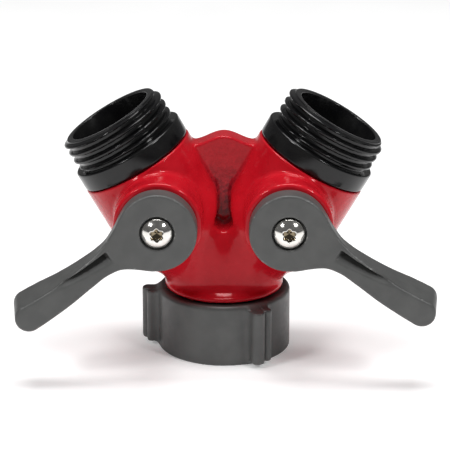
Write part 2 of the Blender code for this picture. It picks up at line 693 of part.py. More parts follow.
def hub_profile():
    front = quarter_arc((HUB_R - HUB_EDGE, HUB_FRONT - HUB_EDGE), HUB_EDGE, 0, 90, 3)
    return [(0, HUB_BACK), (HUB_R, HUB_BACK)] + front + [(0, HUB_FRONT)]


def add_lever(side, label, finish):
    lever = add_object(label + "_lever", turned(hub_profile(), ROUND), finish, drive_frame(side))
    arm = add_object(label + "_lever_form", lever_arm(side), matrix=valve_frame(side))
    combine(lever, arm, "UNION")
    cut = add_object(label + "_pocket_cut", pocket(side), matrix=valve_frame(side))
    combine(lever, cut, "DIFFERENCE")
    recess = rod(HEAD_RECESS_R, HEAD_SEAT, HUB_FRONT + CUT_PAST, SMALL_ROUND)
    cut = add_object(label + "_recess_cut", recess, matrix=drive_frame(side))
    combine(lever, cut, "DIFFERENCE")
    half = DRIVE_FLAT + GAP
    radius = DRIVE_R + GAP
    turn = math.degrees(math.asin(half / radius))
    right_arc = quarter_arc((0, 0), radius, -turn, turn, 5)
    left_arc = quarter_arc((0, 0), radius, 180 - turn, 180 + turn, 5)
    socket = prism(right_arc + left_arc, HUB_BACK - CUT_PAST, HEAD_SEAT + CUT_PAST / 2.0)
    cut = add_object(label + "_socket_cut", socket, matrix=drive_frame(side))
    combine(lever, cut, "DIFFERENCE")
    middle = stop_angle(side)
    play = STOP_HALF_ANGLE + STOP_PLAY
    past = LEVER_DROOP[side]
    start, end = sorted((middle + side * (play + past), middle - side * (QUARTER + play + past)))
    groove = sector(STOP_INNER - GAP, STOP_OUTER + GAP, start, end, HUB_BACK - CUT_PAST,
                    BOSS_FACE + STOP_HEIGHT + GAP)
    cut = add_object(label + "_groove_cut", groove, matrix=drive_frame(side))
    combine(lever, cut, "DIFFERENCE")


def add_lever_screw(side, label, finish):
    base = HEAD_SEAT + GAP
    dome = []
    for step in range(5):
        turn = DOME_ANGLE * step / 4.0
        rise = (HEAD_HEIGHT - HEAD_RIM) * math.sin(turn) / math.sin(DOME_ANGLE)
        dome.append((HEAD_R * math.cos(turn), base + HEAD_RIM + rise))
    shank = [(0, SCREW_TIP), (SCREW_R - SCREW_POINT, SCREW_TIP),
             (SCREW_R, SCREW_TIP + SCREW_POINT), (SCREW_R, base), (HEAD_R, base)]
    form = turned(shank + dome + [(0, base + HEAD_HEIGHT)], SMALL_ROUND)
    screw = add_object(label + "_lever_screw", form, finish, drive_frame(side))
    star = []
    for point in range(12):
        radius = TORX_R if point % 2 == 0 else TORX_R * TORX_WAIST
        angle = math.tau * point / 12
        star.append((radius * math.cos(angle), radius * math.sin(angle)))
    socket = prism(star, base + HEAD_HEIGHT - TORX_DEPTH, base + HEAD_HEIGHT + CUT_PAST)
    cut = add_object(label + "_star_cut", socket, matrix=drive_frame(side))
    combine(screw, cut, "DIFFERENCE")


def main():
    clear_scene()
    cast = material("cast_red", RED, 0.22, 0.0)
    black = material("black_plastic", BLACK, 0.28, 0.0)
    grey = material("grey_plastic", GREY, 0.42, 0.0)
    steel = material("polished_steel", STEEL, 0.12, 1.0)
    brass = material("brass", BRASS, 0.25, 1.0)
    white = material("white_seat", WHITE, 0.45, 0.0)
    rubber = material("black_rubber", RUBBER, 0.65, 0.0)
    add_body(cast)
    add_nut(grey)
    add_tailpiece(brass, rubber)
    for side, label in ((1, "right"), (-1, "left")):
        add_ball(side, label, steel)
        add_seats(side, label, white)
        add_stem(side, label, brass)
        add_stem_seals(side, label, white, rubber)
        add_outlet(side, label, black, rubber)
        add_lever(side, label, grey)
        add_lever_screw(side, label, steel)


main()
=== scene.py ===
"""Looks of the garden hose splitter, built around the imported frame. Metres, Z up."""

import json
import math

import bpy
import bmesh
import numpy as np
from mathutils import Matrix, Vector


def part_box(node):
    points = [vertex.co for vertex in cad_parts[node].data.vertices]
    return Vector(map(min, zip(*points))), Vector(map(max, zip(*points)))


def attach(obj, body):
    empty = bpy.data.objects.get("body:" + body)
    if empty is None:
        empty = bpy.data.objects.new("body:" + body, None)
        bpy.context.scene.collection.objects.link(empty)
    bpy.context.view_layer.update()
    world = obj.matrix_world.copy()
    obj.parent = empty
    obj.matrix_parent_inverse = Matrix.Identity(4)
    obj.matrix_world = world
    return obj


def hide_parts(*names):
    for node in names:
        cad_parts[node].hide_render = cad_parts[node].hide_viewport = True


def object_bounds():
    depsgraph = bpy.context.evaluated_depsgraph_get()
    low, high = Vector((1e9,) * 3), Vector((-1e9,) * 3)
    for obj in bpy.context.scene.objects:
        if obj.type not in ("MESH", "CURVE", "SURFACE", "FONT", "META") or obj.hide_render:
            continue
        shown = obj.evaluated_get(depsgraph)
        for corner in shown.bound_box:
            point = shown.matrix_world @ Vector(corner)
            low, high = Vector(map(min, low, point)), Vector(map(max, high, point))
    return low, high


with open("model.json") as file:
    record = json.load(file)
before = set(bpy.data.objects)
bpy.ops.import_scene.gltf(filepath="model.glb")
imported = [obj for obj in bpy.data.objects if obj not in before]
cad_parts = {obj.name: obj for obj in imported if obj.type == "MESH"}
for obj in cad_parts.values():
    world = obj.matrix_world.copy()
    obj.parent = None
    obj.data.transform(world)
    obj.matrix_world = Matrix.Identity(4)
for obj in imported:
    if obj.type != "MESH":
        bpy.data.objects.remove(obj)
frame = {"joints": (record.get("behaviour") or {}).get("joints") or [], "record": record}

import openvdb
from mathutils import Matrix, Vector

CAD_BOX = [list(corner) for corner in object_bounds()]

# --- places taken from the frame ---------------------------------------------------------------
JOINTS = {joint["name"]: joint for joint in frame["joints"]}
MOUNTS = {mount["name"]: mount for mount in frame["record"]["mounts"]}
PORT_Y = JOINTS["nut_swivel"]["pos_m"][1]
BALL_X, _, BALL_Z = JOINTS["right_valve_turn"]["pos_m"]
OUTLET_AXIS = Vector(MOUNTS["right_outlet_face"]["axis"])
ARM_TILT = math.atan2(OUTLET_AXIS.x, OUTLET_AXIS.z)
RIM_TOP = (MOUNTS["right_outlet_face"]["pos_m"][2] - BALL_Z) / math.cos(ARM_TILT)
RIM_INSET = 0.00009             # keeps the rounder rim inside the CAD rim's corners
SIDES = ((1, "right"), (-1, "left"))
DROOP = {1: 0.0, -1: math.radians(3.0)}     # the left lever hangs past square
GAP = 0.0003

# --- resolution --------------------------------------------------------------------------------
ROUND = 144                     # sides of large turned pieces
OUTLET_ROUND = 160              # sides of an outlet and its thread
SMALL_ROUND = 72                # sides of small turned pieces
BODY_VOXEL = 0.00043
NUT_VOXEL = 0.00034
LEVER_VOXEL = 0.00027
BALL_VOXEL = 0.00036
STEM_VOXEL = 0.00022
SCREW_VOXEL = 0.00012
EVEN_PASSES = 3                 # rounds of evening out a mesh before its last pulls
TABLE_STEPS = 300               # points in a smooth table
SHORT_SIDE = 0.4                # most of a profile's side that one rounded corner takes
SHARP_ANGLE = math.radians(40.0)
CORD_SIDES = 16
SEAT_STEPS = 12
COLLAR_STEPS = 5

# --- casting -----------------------------------------------------------------------------------
ARM_R = 0.0144
ARM_TOP = 0.0115
ARM_BOTTOM = -0.0050
BOSS_R = 0.0107
BOSS_FACE = 0.0213
BOSS_START = 0.0021
BOSS_EDGE = 0.0009
NECK_X = 0.0142
NECK_DEPTH = 0.80
NECK_STRAIGHT = 0.0220
NECK_TOP = 0.0350
NECK_TOP_X = 0.0060
FLANGE_R = 0.0143
FLANGE_BOTTOM = 0.0156
FLANGE_LIP = 0.0009
FLANGE_FLARE = 0.0052
FLANGE_TOP = 0.0225
FLANGE_INSET = 0.0010           # how far the flare starts inside the neck
WEB_HALF = 0.0030
WEB_BOTTOM = 0.0280
WEB_SIDE_Z = 0.0525
WEB_SIDE_X = 0.0078
WEB_PEAK = 0.0548
WEB_WIDE = 0.0122
SKIN_DEPTH = 0.0040             # unpolished casting skin, from the web's middle plane
SKIN_BOTTOM = 0.0310
SKIN_FULL = 0.0415
SKIN_TOP = 0.0510
SKIN_HALF = 0.0065
SKIN_LEAST = 0.25               # share that is left at the top
SKIN_DEPTH_FADE = 0.0006
SKIN_FOOT_FADE = 0.0015
SKIN_SIDE_FADE = 0.0010
GROOVE_BULB_R = 0.0019          # slot between the arms, down to a rounded end
GROOVE_BULB_Z = 0.0343
GROOVE_HALF = 0.0016
GROOVE_TOP_Z = 0.0440
CAVITY_R = 0.0106
SHOULDER = 0.0092
PASSAGE_R = 0.0063
PASSAGE_END = -0.0144
INLET_BORE_R = 0.0099
INLET_BORE_TOP = 0.0236
CHAMBER_R = 0.0090
CHAMBER_TOP = 0.0268
STEM_CHAMBER_R = 0.0049
STEM_CHAMBER_OUT = 0.0130
STOP_INNER = 0.0068
STOP_OUTER = 0.0082
STOP_HEIGHT = 0.0012
STOP_HALF_ANGLE = math.radians(8.0)
STOP_PLAY = math.radians(2.0)
ARM_BLEND = 0.0030              # soft joins between the cast forms
BOSS_BLEND = 0.0009
WEB_BLEND = 0.0009
NECK_BLEND = 0.0040
GROOVE_BLEND = 0.0008
EDGE_BLEND = 0.0004
FLANGE_BLEND = 3.0 * EDGE_BLEND
WEB_EDGE = 1.5 * EDGE_BLEND
BULB_BLEND = 4.0 * EDGE_BLEND
GROOVE_END_BLEND = 2.0 * EDGE_BLEND

# --- ball, seats and stem ----------------------------------------------------------------------
BALL_R = 0.0098
BALL_BORE_R = 0.0060
SEAT_R = 0.0103
SEAT_SKIRT = 0.0052
SLOT_HALF_WIDTH = 0.0016
SLOT_FLOOR = 0.0070
TANG_HALF_LENGTH = 0.0040
STEM_FLANGE_R = 0.0046
STEM_FLANGE_OUT = 0.0116
STEM_R = 0.0037
STEM_GROOVE = (0.0149, 0.0166)
STEM_GROOVE_R = 0.0024
DRIVE_R = 0.0029
DRIVE_FLAT = 0.0023
DRIVE_END = 0.0251
TAPPED_R = 0.0018
TAPPED_DEPTH = 0.0069
WASHER_THICK = 0.0008
STEM_RING = (0.0032, 0.00055)
MACHINED_EDGE = 0.00025
THIN_EDGE = 0.0001

# --- outlet ------------------------------------------------------------------------------------
COLLAR_BOTTOM = ARM_TOP + GAP
COLLAR_TOP = 0.0164
COLLAR_R = 0.0143
COLLAR_EDGE = 0.0005
SPIGOT_R = CAVITY_R - GAP
RIM_R = 0.01205
RIM_EDGE = 0.00022
OUTLET_BORE_R = 0.01044
OUTLET_CONE = (0.0150, 0.0112)
OUTLET_GROOVE = (0.0097, 0.0111)
OUTLET_GROOVE_R = 0.0090
OUTLET_RING = (0.0098, 0.00045)
PITCH = 0.0254 / 11.5
MALE_CREST_R = 0.0133
MALE_THREAD = (0.0170, 0.0244)
THREAD_ROWS = 88
CREST_SHARE = 0.17
ROOT_SHARE = 0.26
THREAD_FADE = 0.30

# --- nut, tailpiece and washer -----------------------------------------------------------------
NUT_R = 0.0164
NUT_HEIGHT = 0.0153
NUT_EDGE = 0.0010
NUT_FOOT_EDGE = 0.0004
NUT_MOUTH = 0.0005              # height of the flared mouth
NUT_LIP_BOTTOM = 0.0129
NUT_LIP_BORE = 0.0100
NUT_THREAD = (0.0012, 0.0102)
FEMALE_ROOT_R = 0.0137
FEMALE_CREST_R = 0.01235
LUG_BOTTOM = 0.0010
LUG_TOP = 0.0144
LUG_COUNT = 3
LUG_ANGLE = math.radians(26.5)
LUG_STEP = math.radians(9.1)
WIDE_RIB = (0.0189, 0.0016)
NARROW_RIB = (0.0182, 0.0011)
LUG_EDGE = 0.0005
LUG_BLEND = 0.0016
LAND_INSET = 0.8 * NUT_EDGE     # painted shade on the top land, inside the rounded edge
LAND_DEPTH = 0.0012
LAND_FADE = 0.0004
CAP_START = 0.0001              # painted shade on the rib tops, outside the round body
CAP_FADE = 0.0006
CAP_DEPTH = 0.0005
CAP_SHARE = 0.6
SLEEVE_R = 0.0096
SLEEVE_BORE_R = 0.0075
TAIL_FLANGE_R = 0.0120
TAIL_FLANGE = (0.0106, 0.0126)
TAIL_GROOVE = (0.0186, 0.0204)
TAIL_GROOVE_R = 0.0083
TAIL_RING = (0.0091, 0.00055)
HOSE_WASHER = (0.0079, 0.0103)
TAIL_EDGE = 0.0002
HOSE_WASHER_EDGE = 0.0003

# --- lever and screw ---------------------------------------------------------------------------
HUB_R = 0.0095
HUB_BACK = BOSS_FACE + GAP
HEAD_R = 0.00375
HEAD_RECESS_R = 0.0041
HEAD_SEAT = 0.0254
HEAD_RIM = 0.0007
HEAD_HEIGHT = 0.0026
HEAD_EDGE = 0.0002
HEAD_FOOT_EDGE = 0.0001
STAR_R = 0.00142
STAR_WAVE = 0.00018
STAR_DEPTH = 0.0018
STAR_LOBES = 6
STAR_CONE = 0.35                # slope of the socket's floor
STAR_EDGE = 0.00035
SOCKET_REACH = 1.12 * STAR_R    # painted shade inside the socket
SOCKET_FADE = 0.0002
SOCKET_START = 0.0004
SOCKET_DEPTH = 0.0005
SCREW_R = 0.0015
SCREW_TIP = 0.0187
SCREW_TIP_EDGE = 0.0003
SHANK_OVERLAP = 0.0005
# along the lever: reach, upper edge, lower edge, front face, back face, lean of the upper face
LEVER_STATIONS = (
    (0.0060, 0.0068, -0.0068, 0.0266, 0.0216, 0.0000),
    (0.0090, 0.0057, -0.0050, 0.0266, 0.0216, 0.0000),
    (0.0120, 0.0044, -0.0031, 0.0268, 0.0218, 0.0000),
    (0.0150, 0.0038, -0.0024, 0.0274, 0.0218, 0.0002),
    (0.0200, 0.0035, -0.0026, 0.0284, 0.0218, 0.0005),
    (0.0260, 0.0036, -0.0032, 0.0294, 0.0218, 0.0011),
    (0.0330, 0.0043, -0.0036, 0.0300, 0.0219, 0.0018),
    (0.0400, 0.0046, -0.0038, 0.0300, 0.0221, 0.0018),
)
LEVER_TIP = 0.0400
TIP_CORNER = 0.0034
LEVER_EDGE = 0.0006
LEVER_BLEND = 0.0016
# along the pocket in the lever's front: reach, lower crease, upper wall, depth
POCKET_STATIONS = (
    (0.0110, -0.0004, 0.0029, 0.0022),
    (0.0160, 0.0001, 0.0026, 0.0020),
    (0.0215, 0.0008, 0.0025, 0.0014),
    (0.0250, 0.0013, 0.0025, 0.0008),
    (0.0275, 0.0020, 0.0024, 0.0001),
)
POCKET_START = 0.0125
POCKET_LEAN = 0.6               # slope of the wall at the pocket's start
POCKET_BLEND = 0.0003
SHADE_FADE = 0.0004             # painted shade inside the pocket
SHADE_WALL = 0.0003
SHADE_SLACK = 0.0006
SHADE_START = 0.0001
SHADE_DEPTH = 0.0009


# --- fields: negative inside, positive outside, close to a distance near the surface ------------

def smooth_min(a, b, reach):
    """Where either is negative, with the corner between them filled over a reach."""
    share = np.clip(0.5 + 0.5 * (b - a) / reach, 0.0, 1.0)
    return b + (a - b) * share - reach * share * (1.0 - share)


def smooth_max(a, b, reach):
    """Where both are negative, with the edge between them softened over a reach."""
    return -smooth_min(-a, -b, reach)


def round_max(a, b, radius):
    """Where both are negative, with the edge between them rounded to a radius."""
    inner = np.minimum(np.maximum(a, b) + radius, 0.0)
    return inner + np.hypot(np.maximum(a + radius, 0.0), np.maximum(b + radius, 0.0)) - radius


def ramp(value, width):
    """Share that rises from 0 to 1 over a width."""
    return np.clip(value / width, 0.0, 1.0)


def disc(radial, height, radius, low, high, edge):
    """Turned disc or rod with rounded edges."""
    middle = (low + high) / 2.0
    return round_max(radial - radius, np.abs(height - middle) - (high - low) / 2.0, edge)


def cubic(stations, column):
    """Smooth table through one column of a list of stations, for np.interp."""
    x = np.array([row[0] for row in stations])
    value = np.array([row[column] for row in stations])
    slope = np.gradient(value, x)
    fine = np.linspace(x[0], x[-1], TABLE_STEPS)
    i = np.clip(np.searchsorted(x, fine) - 1, 0, len(x) - 2)
    width = x[i + 1] - x[i]
    t = (fine - x[i]) / width
    rise = value[i + 1] - value[i]
    curve = value[i] + rise * t * t * (3.0 - 2.0 * t)
    curve += width * t * (1.0 - t) * (slope[i] * (1.0 - t) - slope[i + 1] * t)
    return fine, curve


def ridge(phase):
    """Share of a thread's height at a phase of its pitch, 0.5 being the crest's middle."""
    away = np.abs(phase - np.floor(phase) - 0.5)
    crest = CREST_SHARE / 2.0
    foot = (1.0 - ROOT_SHARE) / 2.0
    rise = ramp(foot - away, foot - crest)
    return rise * rise * (3.0 - 2.0 * rise)


def stop_angle(side):
    """Where the stop post stands round the stem, in the arm's frame seen from the front."""
    return math.radians(90.0) + side * math.radians(45.0)


def arc_field(across, up, inner, outer, middle, half_angle):
    """Ring sector in a plane, measured about its own middle angle."""
    angle = np.arctan2(up, across) - middle
    angle = np.abs((angle + math.pi) % math.tau - math.pi)
    radial = np.hypot(across, up)
    return np.maximum(np.abs(radial - (inner + outer) / 2.0) - (outer - inner) / 2.0,
                      (angle - half_angle) * radial)


def arm_fields(side, x, y, z):
    """One arm with its stem boss and stop post, and the bores in it."""
    along = (side * x - BALL_X) * math.sin(ARM_TILT) + (z - BALL_Z) * math.cos(ARM_TILT)
    across = (side * x - BALL_X) * math.cos(ARM_TILT) - (z - BALL_Z) * math.sin(ARM_TILT)
    ring = np.hypot(across, y)
    pin = np.hypot(across, along)
    tube = np.hypot(ring, np.minimum(along - ARM_BOTTOM, 0.0)) - ARM_R
    tube = round_max(tube, along - ARM_TOP, EDGE_BLEND)
    boss = round_max(pin - BOSS_R, -y - BOSS_FACE, BOSS_EDGE)
    boss = np.maximum(boss, y + BOSS_START)
    stop = arc_field(side * across, along, STOP_INNER, STOP_OUTER,
                     stop_angle(side), STOP_HALF_ANGLE)
    stop = np.maximum(stop, np.maximum(-y - BOSS_FACE - STOP_HEIGHT, y + BOSS_FACE - STOP_HEIGHT))
    arm = np.minimum(smooth_min(tube, boss, BOSS_BLEND), stop)
    cavity = np.maximum(ring - CAVITY_R, -SHOULDER - along)
    passage = np.maximum(ring - PASSAGE_R, PASSAGE_END - along)
    gland = np.maximum(pin - STEM_CHAMBER_R, -y - STEM_CHAMBER_OUT)
    stem_bore = np.maximum(np.minimum(gland, pin - STEM_R - GAP), y)
    return arm, np.minimum(np.minimum(cavity, passage), stem_bore)


def body_field(x, y, z):
    """The casting in the frame's own axes."""
    y = y - PORT_Y
    radial = np.hypot(x, y)
    inlet = np.maximum(radial - INLET_BORE_R, z - INLET_BORE_TOP)
    chamber = np.maximum(radial - CHAMBER_R, z - CHAMBER_TOP)
    hollow = smooth_min(inlet, chamber, EDGE_BLEND)
    whole = None
    for side, _ in SIDES:
        arm, bores = arm_fields(side, x, y, z)
        whole = arm if whole is None else smooth_min(whole, arm, ARM_BLEND)
        hollow = smooth_min(hollow, bores, EDGE_BLEND)
    whole = smooth_min(whole, neck_field(x, y, z), NECK_BLEND)
    whole = smooth_min(whole, web_field(x, y, z), WEB_BLEND)
    whole = smooth_max(whole, -groove_field(x, y, z), GROOVE_BLEND)
    return smooth_max(whole, -hollow, EDGE_BLEND)


def neck_field(x, y, z):
    """Oval neck that narrows between the arms, and the bell-shaped flange below it."""
    rise = ramp(z - NECK_STRAIGHT, NECK_TOP - NECK_STRAIGHT)
    half = NECK_TOP_X + (NECK_X - NECK_TOP_X) * np.sqrt(1.0 - rise * rise)
    oval = np.hypot(x, y / NECK_DEPTH) - half
    neck = np.maximum(oval, np.maximum(z - NECK_TOP, FLANGE_BOTTOM + FLANGE_LIP / 2.0 - z))
    radial = np.hypot(x, y)
    waist = NECK_X * NECK_DEPTH - FLANGE_INSET
    top = FLANGE_BOTTOM + FLANGE_LIP
    flare = FLANGE_FLARE - np.hypot(np.maximum(waist + FLANGE_FLARE - radial, 0.0),
                                    np.maximum(top + FLANGE_FLARE - z, 0.0))
    flare = np.maximum(flare, z - FLANGE_TOP)
    flange = round_max(flare, radial - FLANGE_R, EDGE_BLEND)
    flange = round_max(flange, FLANGE_BOTTOM - z, EDGE_BLEND)
    return smooth_min(neck, flange, FLANGE_BLEND)


def web_field(x, y, z):
    """Plate between the arms with a raised middle."""
    near = np.clip(x / WEB_SIDE_X, -1.0, 1.0)
    top = WEB_SIDE_Z + (WEB_PEAK - WEB_SIDE_Z) * (0.5 + 0.5 * np.cos(math.pi * near))
    plate = round_max(np.abs(y) - WEB_HALF, z - top, WEB_EDGE)
    return np.maximum(plate, np.maximum(WEB_BOTTOM - z, np.abs(x) - WEB_WIDE))


def groove_field(x, y, z):
    """Slot between the arms, in front of and behind the web."""
    bulb = np.hypot(x, z - GROOVE_BULB_Z) - GROOVE_BULB_R
    slot = np.maximum(np.abs(x) - GROOVE_HALF, GROOVE_BULB_Z - z)
    slot = np.maximum(slot, z - GROOVE_TOP_Z)
    outline = smooth_min(bulb, slot, BULB_BLEND)
    return smooth_max(outline, WEB_HALF - np.abs(y), GROOVE_END_BLEND)


def cast_skin(x, y, z):
    """Share of unpolished skin, on the lower part of the web and in the slot."""
    near = ramp(SKIN_DEPTH - np.abs(y - PORT_Y), SKIN_DEPTH_FADE)
    height = np.clip((SKIN_TOP - z) / (SKIN_TOP - SKIN_FULL), SKIN_LEAST, 1.0)
    height *= ramp(z - SKIN_BOTTOM, SKIN_FOOT_FADE)
    inside = ramp(SKIN_HALF - np.abs(x), SKIN_SIDE_FADE)
    return near * height * inside


def lug_field(x, y, z):
    """The grip lugs, each a wide rib beside a narrow one."""
    lugs = None
    for number in range(LUG_COUNT):
        first = -math.pi / 2.0 + LUG_ANGLE + number * math.tau / LUG_COUNT
        for (centre, radius), angle in ((WIDE_RIB, first), (NARROW_RIB, first + LUG_STEP)):
            along = x * math.cos(angle) + y * math.sin(angle)
            aside = -x * math.sin(angle) + y * math.cos(angle)
            past = along - np.clip(along, NUT_R - 2.0 * radius, centre)
            rib = np.hypot(past, aside) - radius
            lugs = rib if lugs is None else smooth_min(lugs, rib, LUG_EDGE)
    middle = (LUG_BOTTOM + LUG_TOP) / 2.0
    return round_max(lugs, np.abs(z - middle) - (LUG_TOP - LUG_BOTTOM) / 2.0, LUG_EDGE)


def nut_field(x, y, z):
    """Centred on the port axis."""
    radial = np.hypot(x, y)
    shell = round_max(radial - NUT_R, z - NUT_HEIGHT, NUT_EDGE)
    shell = round_max(shell, -z, NUT_FOOT_EDGE)
    outside = smooth_min(shell, lug_field(x, y, z), LUG_BLEND)
    phase = z / PITCH - np.arctan2(y, x) / math.tau
    fade = ramp(np.minimum(z - NUT_THREAD[0], NUT_THREAD[1] - z), THREAD_FADE * PITCH)
    depth = (FEMALE_ROOT_R - FEMALE_CREST_R) * ridge(phase) * fade
    bore = np.maximum(radial - FEMALE_ROOT_R + depth, z - NUT_LIP_BOTTOM)
    mouth = radial - FEMALE_ROOT_R - np.maximum(NUT_MOUTH - z, 0.0)
    lip = radial - NUT_LIP_BORE
    hollow = np.minimum(np.minimum(bore, np.maximum(mouth, z - NUT_THREAD[0])), lip)
    return smooth_max(outside, -hollow, EDGE_BLEND)


def painted_shade_on_nut(x, y, z):
    """Share of painted shade on the nut's top faces, its top land and the tops of its ribs."""
    radial = np.hypot(x, y)
    land = ramp(NUT_R - LAND_INSET - radial, LAND_FADE)
    land *= ramp(z - NUT_HEIGHT + LAND_DEPTH, LAND_FADE)
    caps = ramp(radial - NUT_R - CAP_START, CAP_FADE)
    caps *= ramp(z - LUG_TOP + CAP_DEPTH, CAP_DEPTH)
    return np.maximum(land, CAP_SHARE * caps)


def lever_hollow(side, x, y, z):
    """The screw's recess, the stem's socket and the groove in which the stop post runs."""
    radial = np.hypot(x, y)
    recess = np.maximum(radial - HEAD_RECESS_R, HEAD_SEAT - z)
    socket = np.maximum(radial - DRIVE_R - GAP, np.abs(y) - DRIVE_FLAT - GAP)
    play = STOP_HALF_ANGLE + STOP_PLAY
    quarter = math.radians(90.0)
    swing = (quarter + 2.0 * play + 2.0 * DROOP[side]) / 2.0
    centre = stop_angle(side) - side * quarter / 2.0
    groove = arc_field(x, y, STOP_INNER - GAP, STOP_OUTER + GAP, centre, swing)
    groove = np.maximum(groove, z - BOSS_FACE - STOP_HEIGHT - GAP)
    return np.minimum(np.minimum(recess, socket), groove)


def lever_field(side):
    """X along the lever to the right, Y across it, Z to the front."""
    tables = [cubic(LEVER_STATIONS, column) for column in range(1, 6)]
    pocket = [cubic(POCKET_STATIONS, column) for column in range(1, 4)]

    def field(x, y, z):
        reach = side * x
        upper, lower, front, back, lean = [np.interp(reach, *table) for table in tables]
        depth = front - back
        top = ((y - upper) * depth + (z - back) * lean) / np.hypot(depth, lean)
        high = round_max(top, reach - LEVER_TIP, TIP_CORNER)
        low = round_max(lower - y, reach - LEVER_TIP, TIP_CORNER)
        arm = np.maximum(np.maximum(high, low), -reach)
        outline = smooth_min(np.hypot(x, y) - HUB_R, arm, LEVER_BLEND)
        whole = round_max(outline, z - front, LEVER_EDGE)
        whole = round_max(whole, back - z, EDGE_BLEND)
        crease, wall, deep = [np.interp(reach, *table) for table in pocket]
        floor = front - deep * (y - crease) / (wall - crease)
        cut = smooth_max(floor - z, y - wall, EDGE_BLEND)
        start = (POCKET_START - reach) + POCKET_LEAN * (front - z)
        cut = smooth_max(cut, start, EDGE_BLEND)
        whole = smooth_max(whole, -cut, POCKET_BLEND)
        return smooth_max(whole, -lever_hollow(side, x, y, z), EDGE_BLEND)

    return field


def pocket_painted_shade(side):
    """Share of painted shade inside the pocket in the lever's front."""
    crease, wall, deep = [cubic(POCKET_STATIONS, column) for column in range(1, 4)]
    front = cubic(LEVER_STATIONS, 3)

    def share(x, y, z):
        reach = side * x
        depth = np.interp(reach, *front) - z
        inside = ramp(y - np.interp(reach, *crease), SHADE_FADE)
        inside *= ramp(np.interp(reach, *wall) + SHADE_WALL - y, SHADE_WALL)
        inside *= ramp(reach - POCKET_START, SHADE_FADE)
        inside *= depth < np.interp(reach, *deep) + SHADE_SLACK
        return inside * ramp(depth - SHADE_START, SHADE_DEPTH)

    return share


def screw_field(x, y, z):
    """Domed head with a six-lobed socket, and a plain shank. Z to the front."""
    base = HEAD_SEAT + GAP
    radial = np.hypot(x, y)
    rise = HEAD_HEIGHT - HEAD_RIM
    dome_r = (HEAD_R * HEAD_R + rise * rise) / (2.0 * rise)
    centre = base + HEAD_HEIGHT - dome_r
    dome = np.hypot(radial, z - centre) - dome_r
    head = round_max(round_max(dome, radial - HEAD_R, HEAD_EDGE), base - z, HEAD_FOOT_EDGE)
    shank = disc(radial, z, SCREW_R, SCREW_TIP, base + SHANK_OVERLAP, SCREW_TIP_EDGE)
    star = radial - STAR_R - STAR_WAVE * np.cos(STAR_LOBES * np.arctan2(y, x))
    floor = base + HEAD_HEIGHT - STAR_DEPTH - STAR_CONE * (STAR_R - radial)
    socket = np.maximum(star, floor - z)
    return smooth_max(smooth_min(head, shank, HEAD_EDGE), -socket, STAR_EDGE)


def socket_painted_shade(x, y, z):
    """Share of the painted shade inside the screw's socket."""
    low = HEAD_SEAT + GAP + HEAD_HEIGHT - z
    near = ramp(SOCKET_REACH - np.hypot(x, y), SOCKET_FADE)
    return near * ramp(low - SOCKET_START, SOCKET_DEPTH)


def ball_field(x, y, z):
    """X along the bore, Z to the front."""
    sphere = np.sqrt(x * x + y * y + z * z) - BALL_R
    bored = round_max(sphere, BALL_BORE_R - np.hypot(y, z), MACHINED_EDGE)
    slot = np.maximum(np.abs(y) - SLOT_HALF_WIDTH, SLOT_FLOOR - z)
    return smooth_max(bored, -slot, MACHINED_EDGE)


def stem_field(x, y, z):
    """Z to the front."""
    radial = np.hypot(x, y)
    shoulder = BOSS_FACE - GAP
    foot = BALL_R + GAP
    rod = disc(radial, z, STEM_R, foot, shoulder, MACHINED_EDGE)
    flange = disc(radial, z, STEM_FLANGE_R, foot, STEM_FLANGE_OUT, MACHINED_EDGE)
    drive = disc(radial, z, DRIVE_R, foot, DRIVE_END, MACHINED_EDGE)
    drive = round_max(drive, np.abs(y) - DRIVE_FLAT, MACHINED_EDGE)
    tang = round_max(np.abs(y) - SLOT_HALF_WIDTH + GAP, np.abs(x) - TANG_HALF_LENGTH, MACHINED_EDGE)
    tang = round_max(tang, np.maximum(SLOT_FLOOR + GAP - z, z - STEM_FLANGE_OUT), MACHINED_EDGE)
    groove = np.maximum(STEM_GROOVE_R - radial, np.maximum(STEM_GROOVE[0] - z, z - STEM_GROOVE[1]))
    turned_part = smooth_max(np.minimum(rod, flange), -groove, MACHINED_EDGE)
    whole = np.minimum(np.minimum(turned_part, drive), tang)
    tapped = np.maximum(radial - TAPPED_R, DRIVE_END - TAPPED_DEPTH - z)
    return smooth_max(whole, -tapped, MACHINED_EDGE)


# --- meshes ------------------------------------------------------------------------------------

def slope_of(field, points):
    """Gradient of a field at points, by central differences."""
    step = 2e-6
    slope = np.empty_like(points)
    for axis in range(3):
        shift = np.zeros(3)
        shift[axis] = step
        slope[:, axis] = (field(*(points + shift).T) - field(*(points - shift).T)) / (2.0 * step)
    return slope


def pull(points, field, reach):
    """Moves points onto the field's surface, each by no more than a reach."""
    slope = slope_of(field, points)
    steep = np.maximum((slope * slope).sum(1), 0.1)     # no long steps where it is flat
    move = -(field(*points.T) / steep)[:, None] * slope
    length = np.maximum(np.linalg.norm(move, axis=1), 1e-12)
    return points + move * np.minimum(1.0, reach / length)[:, None]


def even_out(points, ends):
    """Each point moves half way to the middle of its neighbours."""
    count = np.bincount(ends.ravel(), minlength=len(points))
    total = np.zeros_like(points)
    for axis in range(3):
        total[:, axis] += np.bincount(ends[:, 0], points[ends[:, 1], axis], len(points))
        total[:, axis] += np.bincount(ends[:, 1], points[ends[:, 0], axis], len(points))
    return 0.5 * points + 0.5 * total / np.maximum(count, 1)[:, None]


def bend(points, normals, ends):
    """How sharply the surface bends at each point: positive on edges, negative in corners."""
    run = points[ends[:, 1]] - points[ends[:, 0]]
    turn = normals[ends[:, 1]] - normals[ends[:, 0]]
    value = (run * turn).sum(1) / np.maximum((run * run).sum(1), 1e-14)
    count = np.bincount(ends.ravel(), minlength=len(points))
    total = np.bincount(ends[:, 0], value, len(points)) + np.bincount(ends[:, 1], value, len(points))
    return total / np.maximum(count, 1)


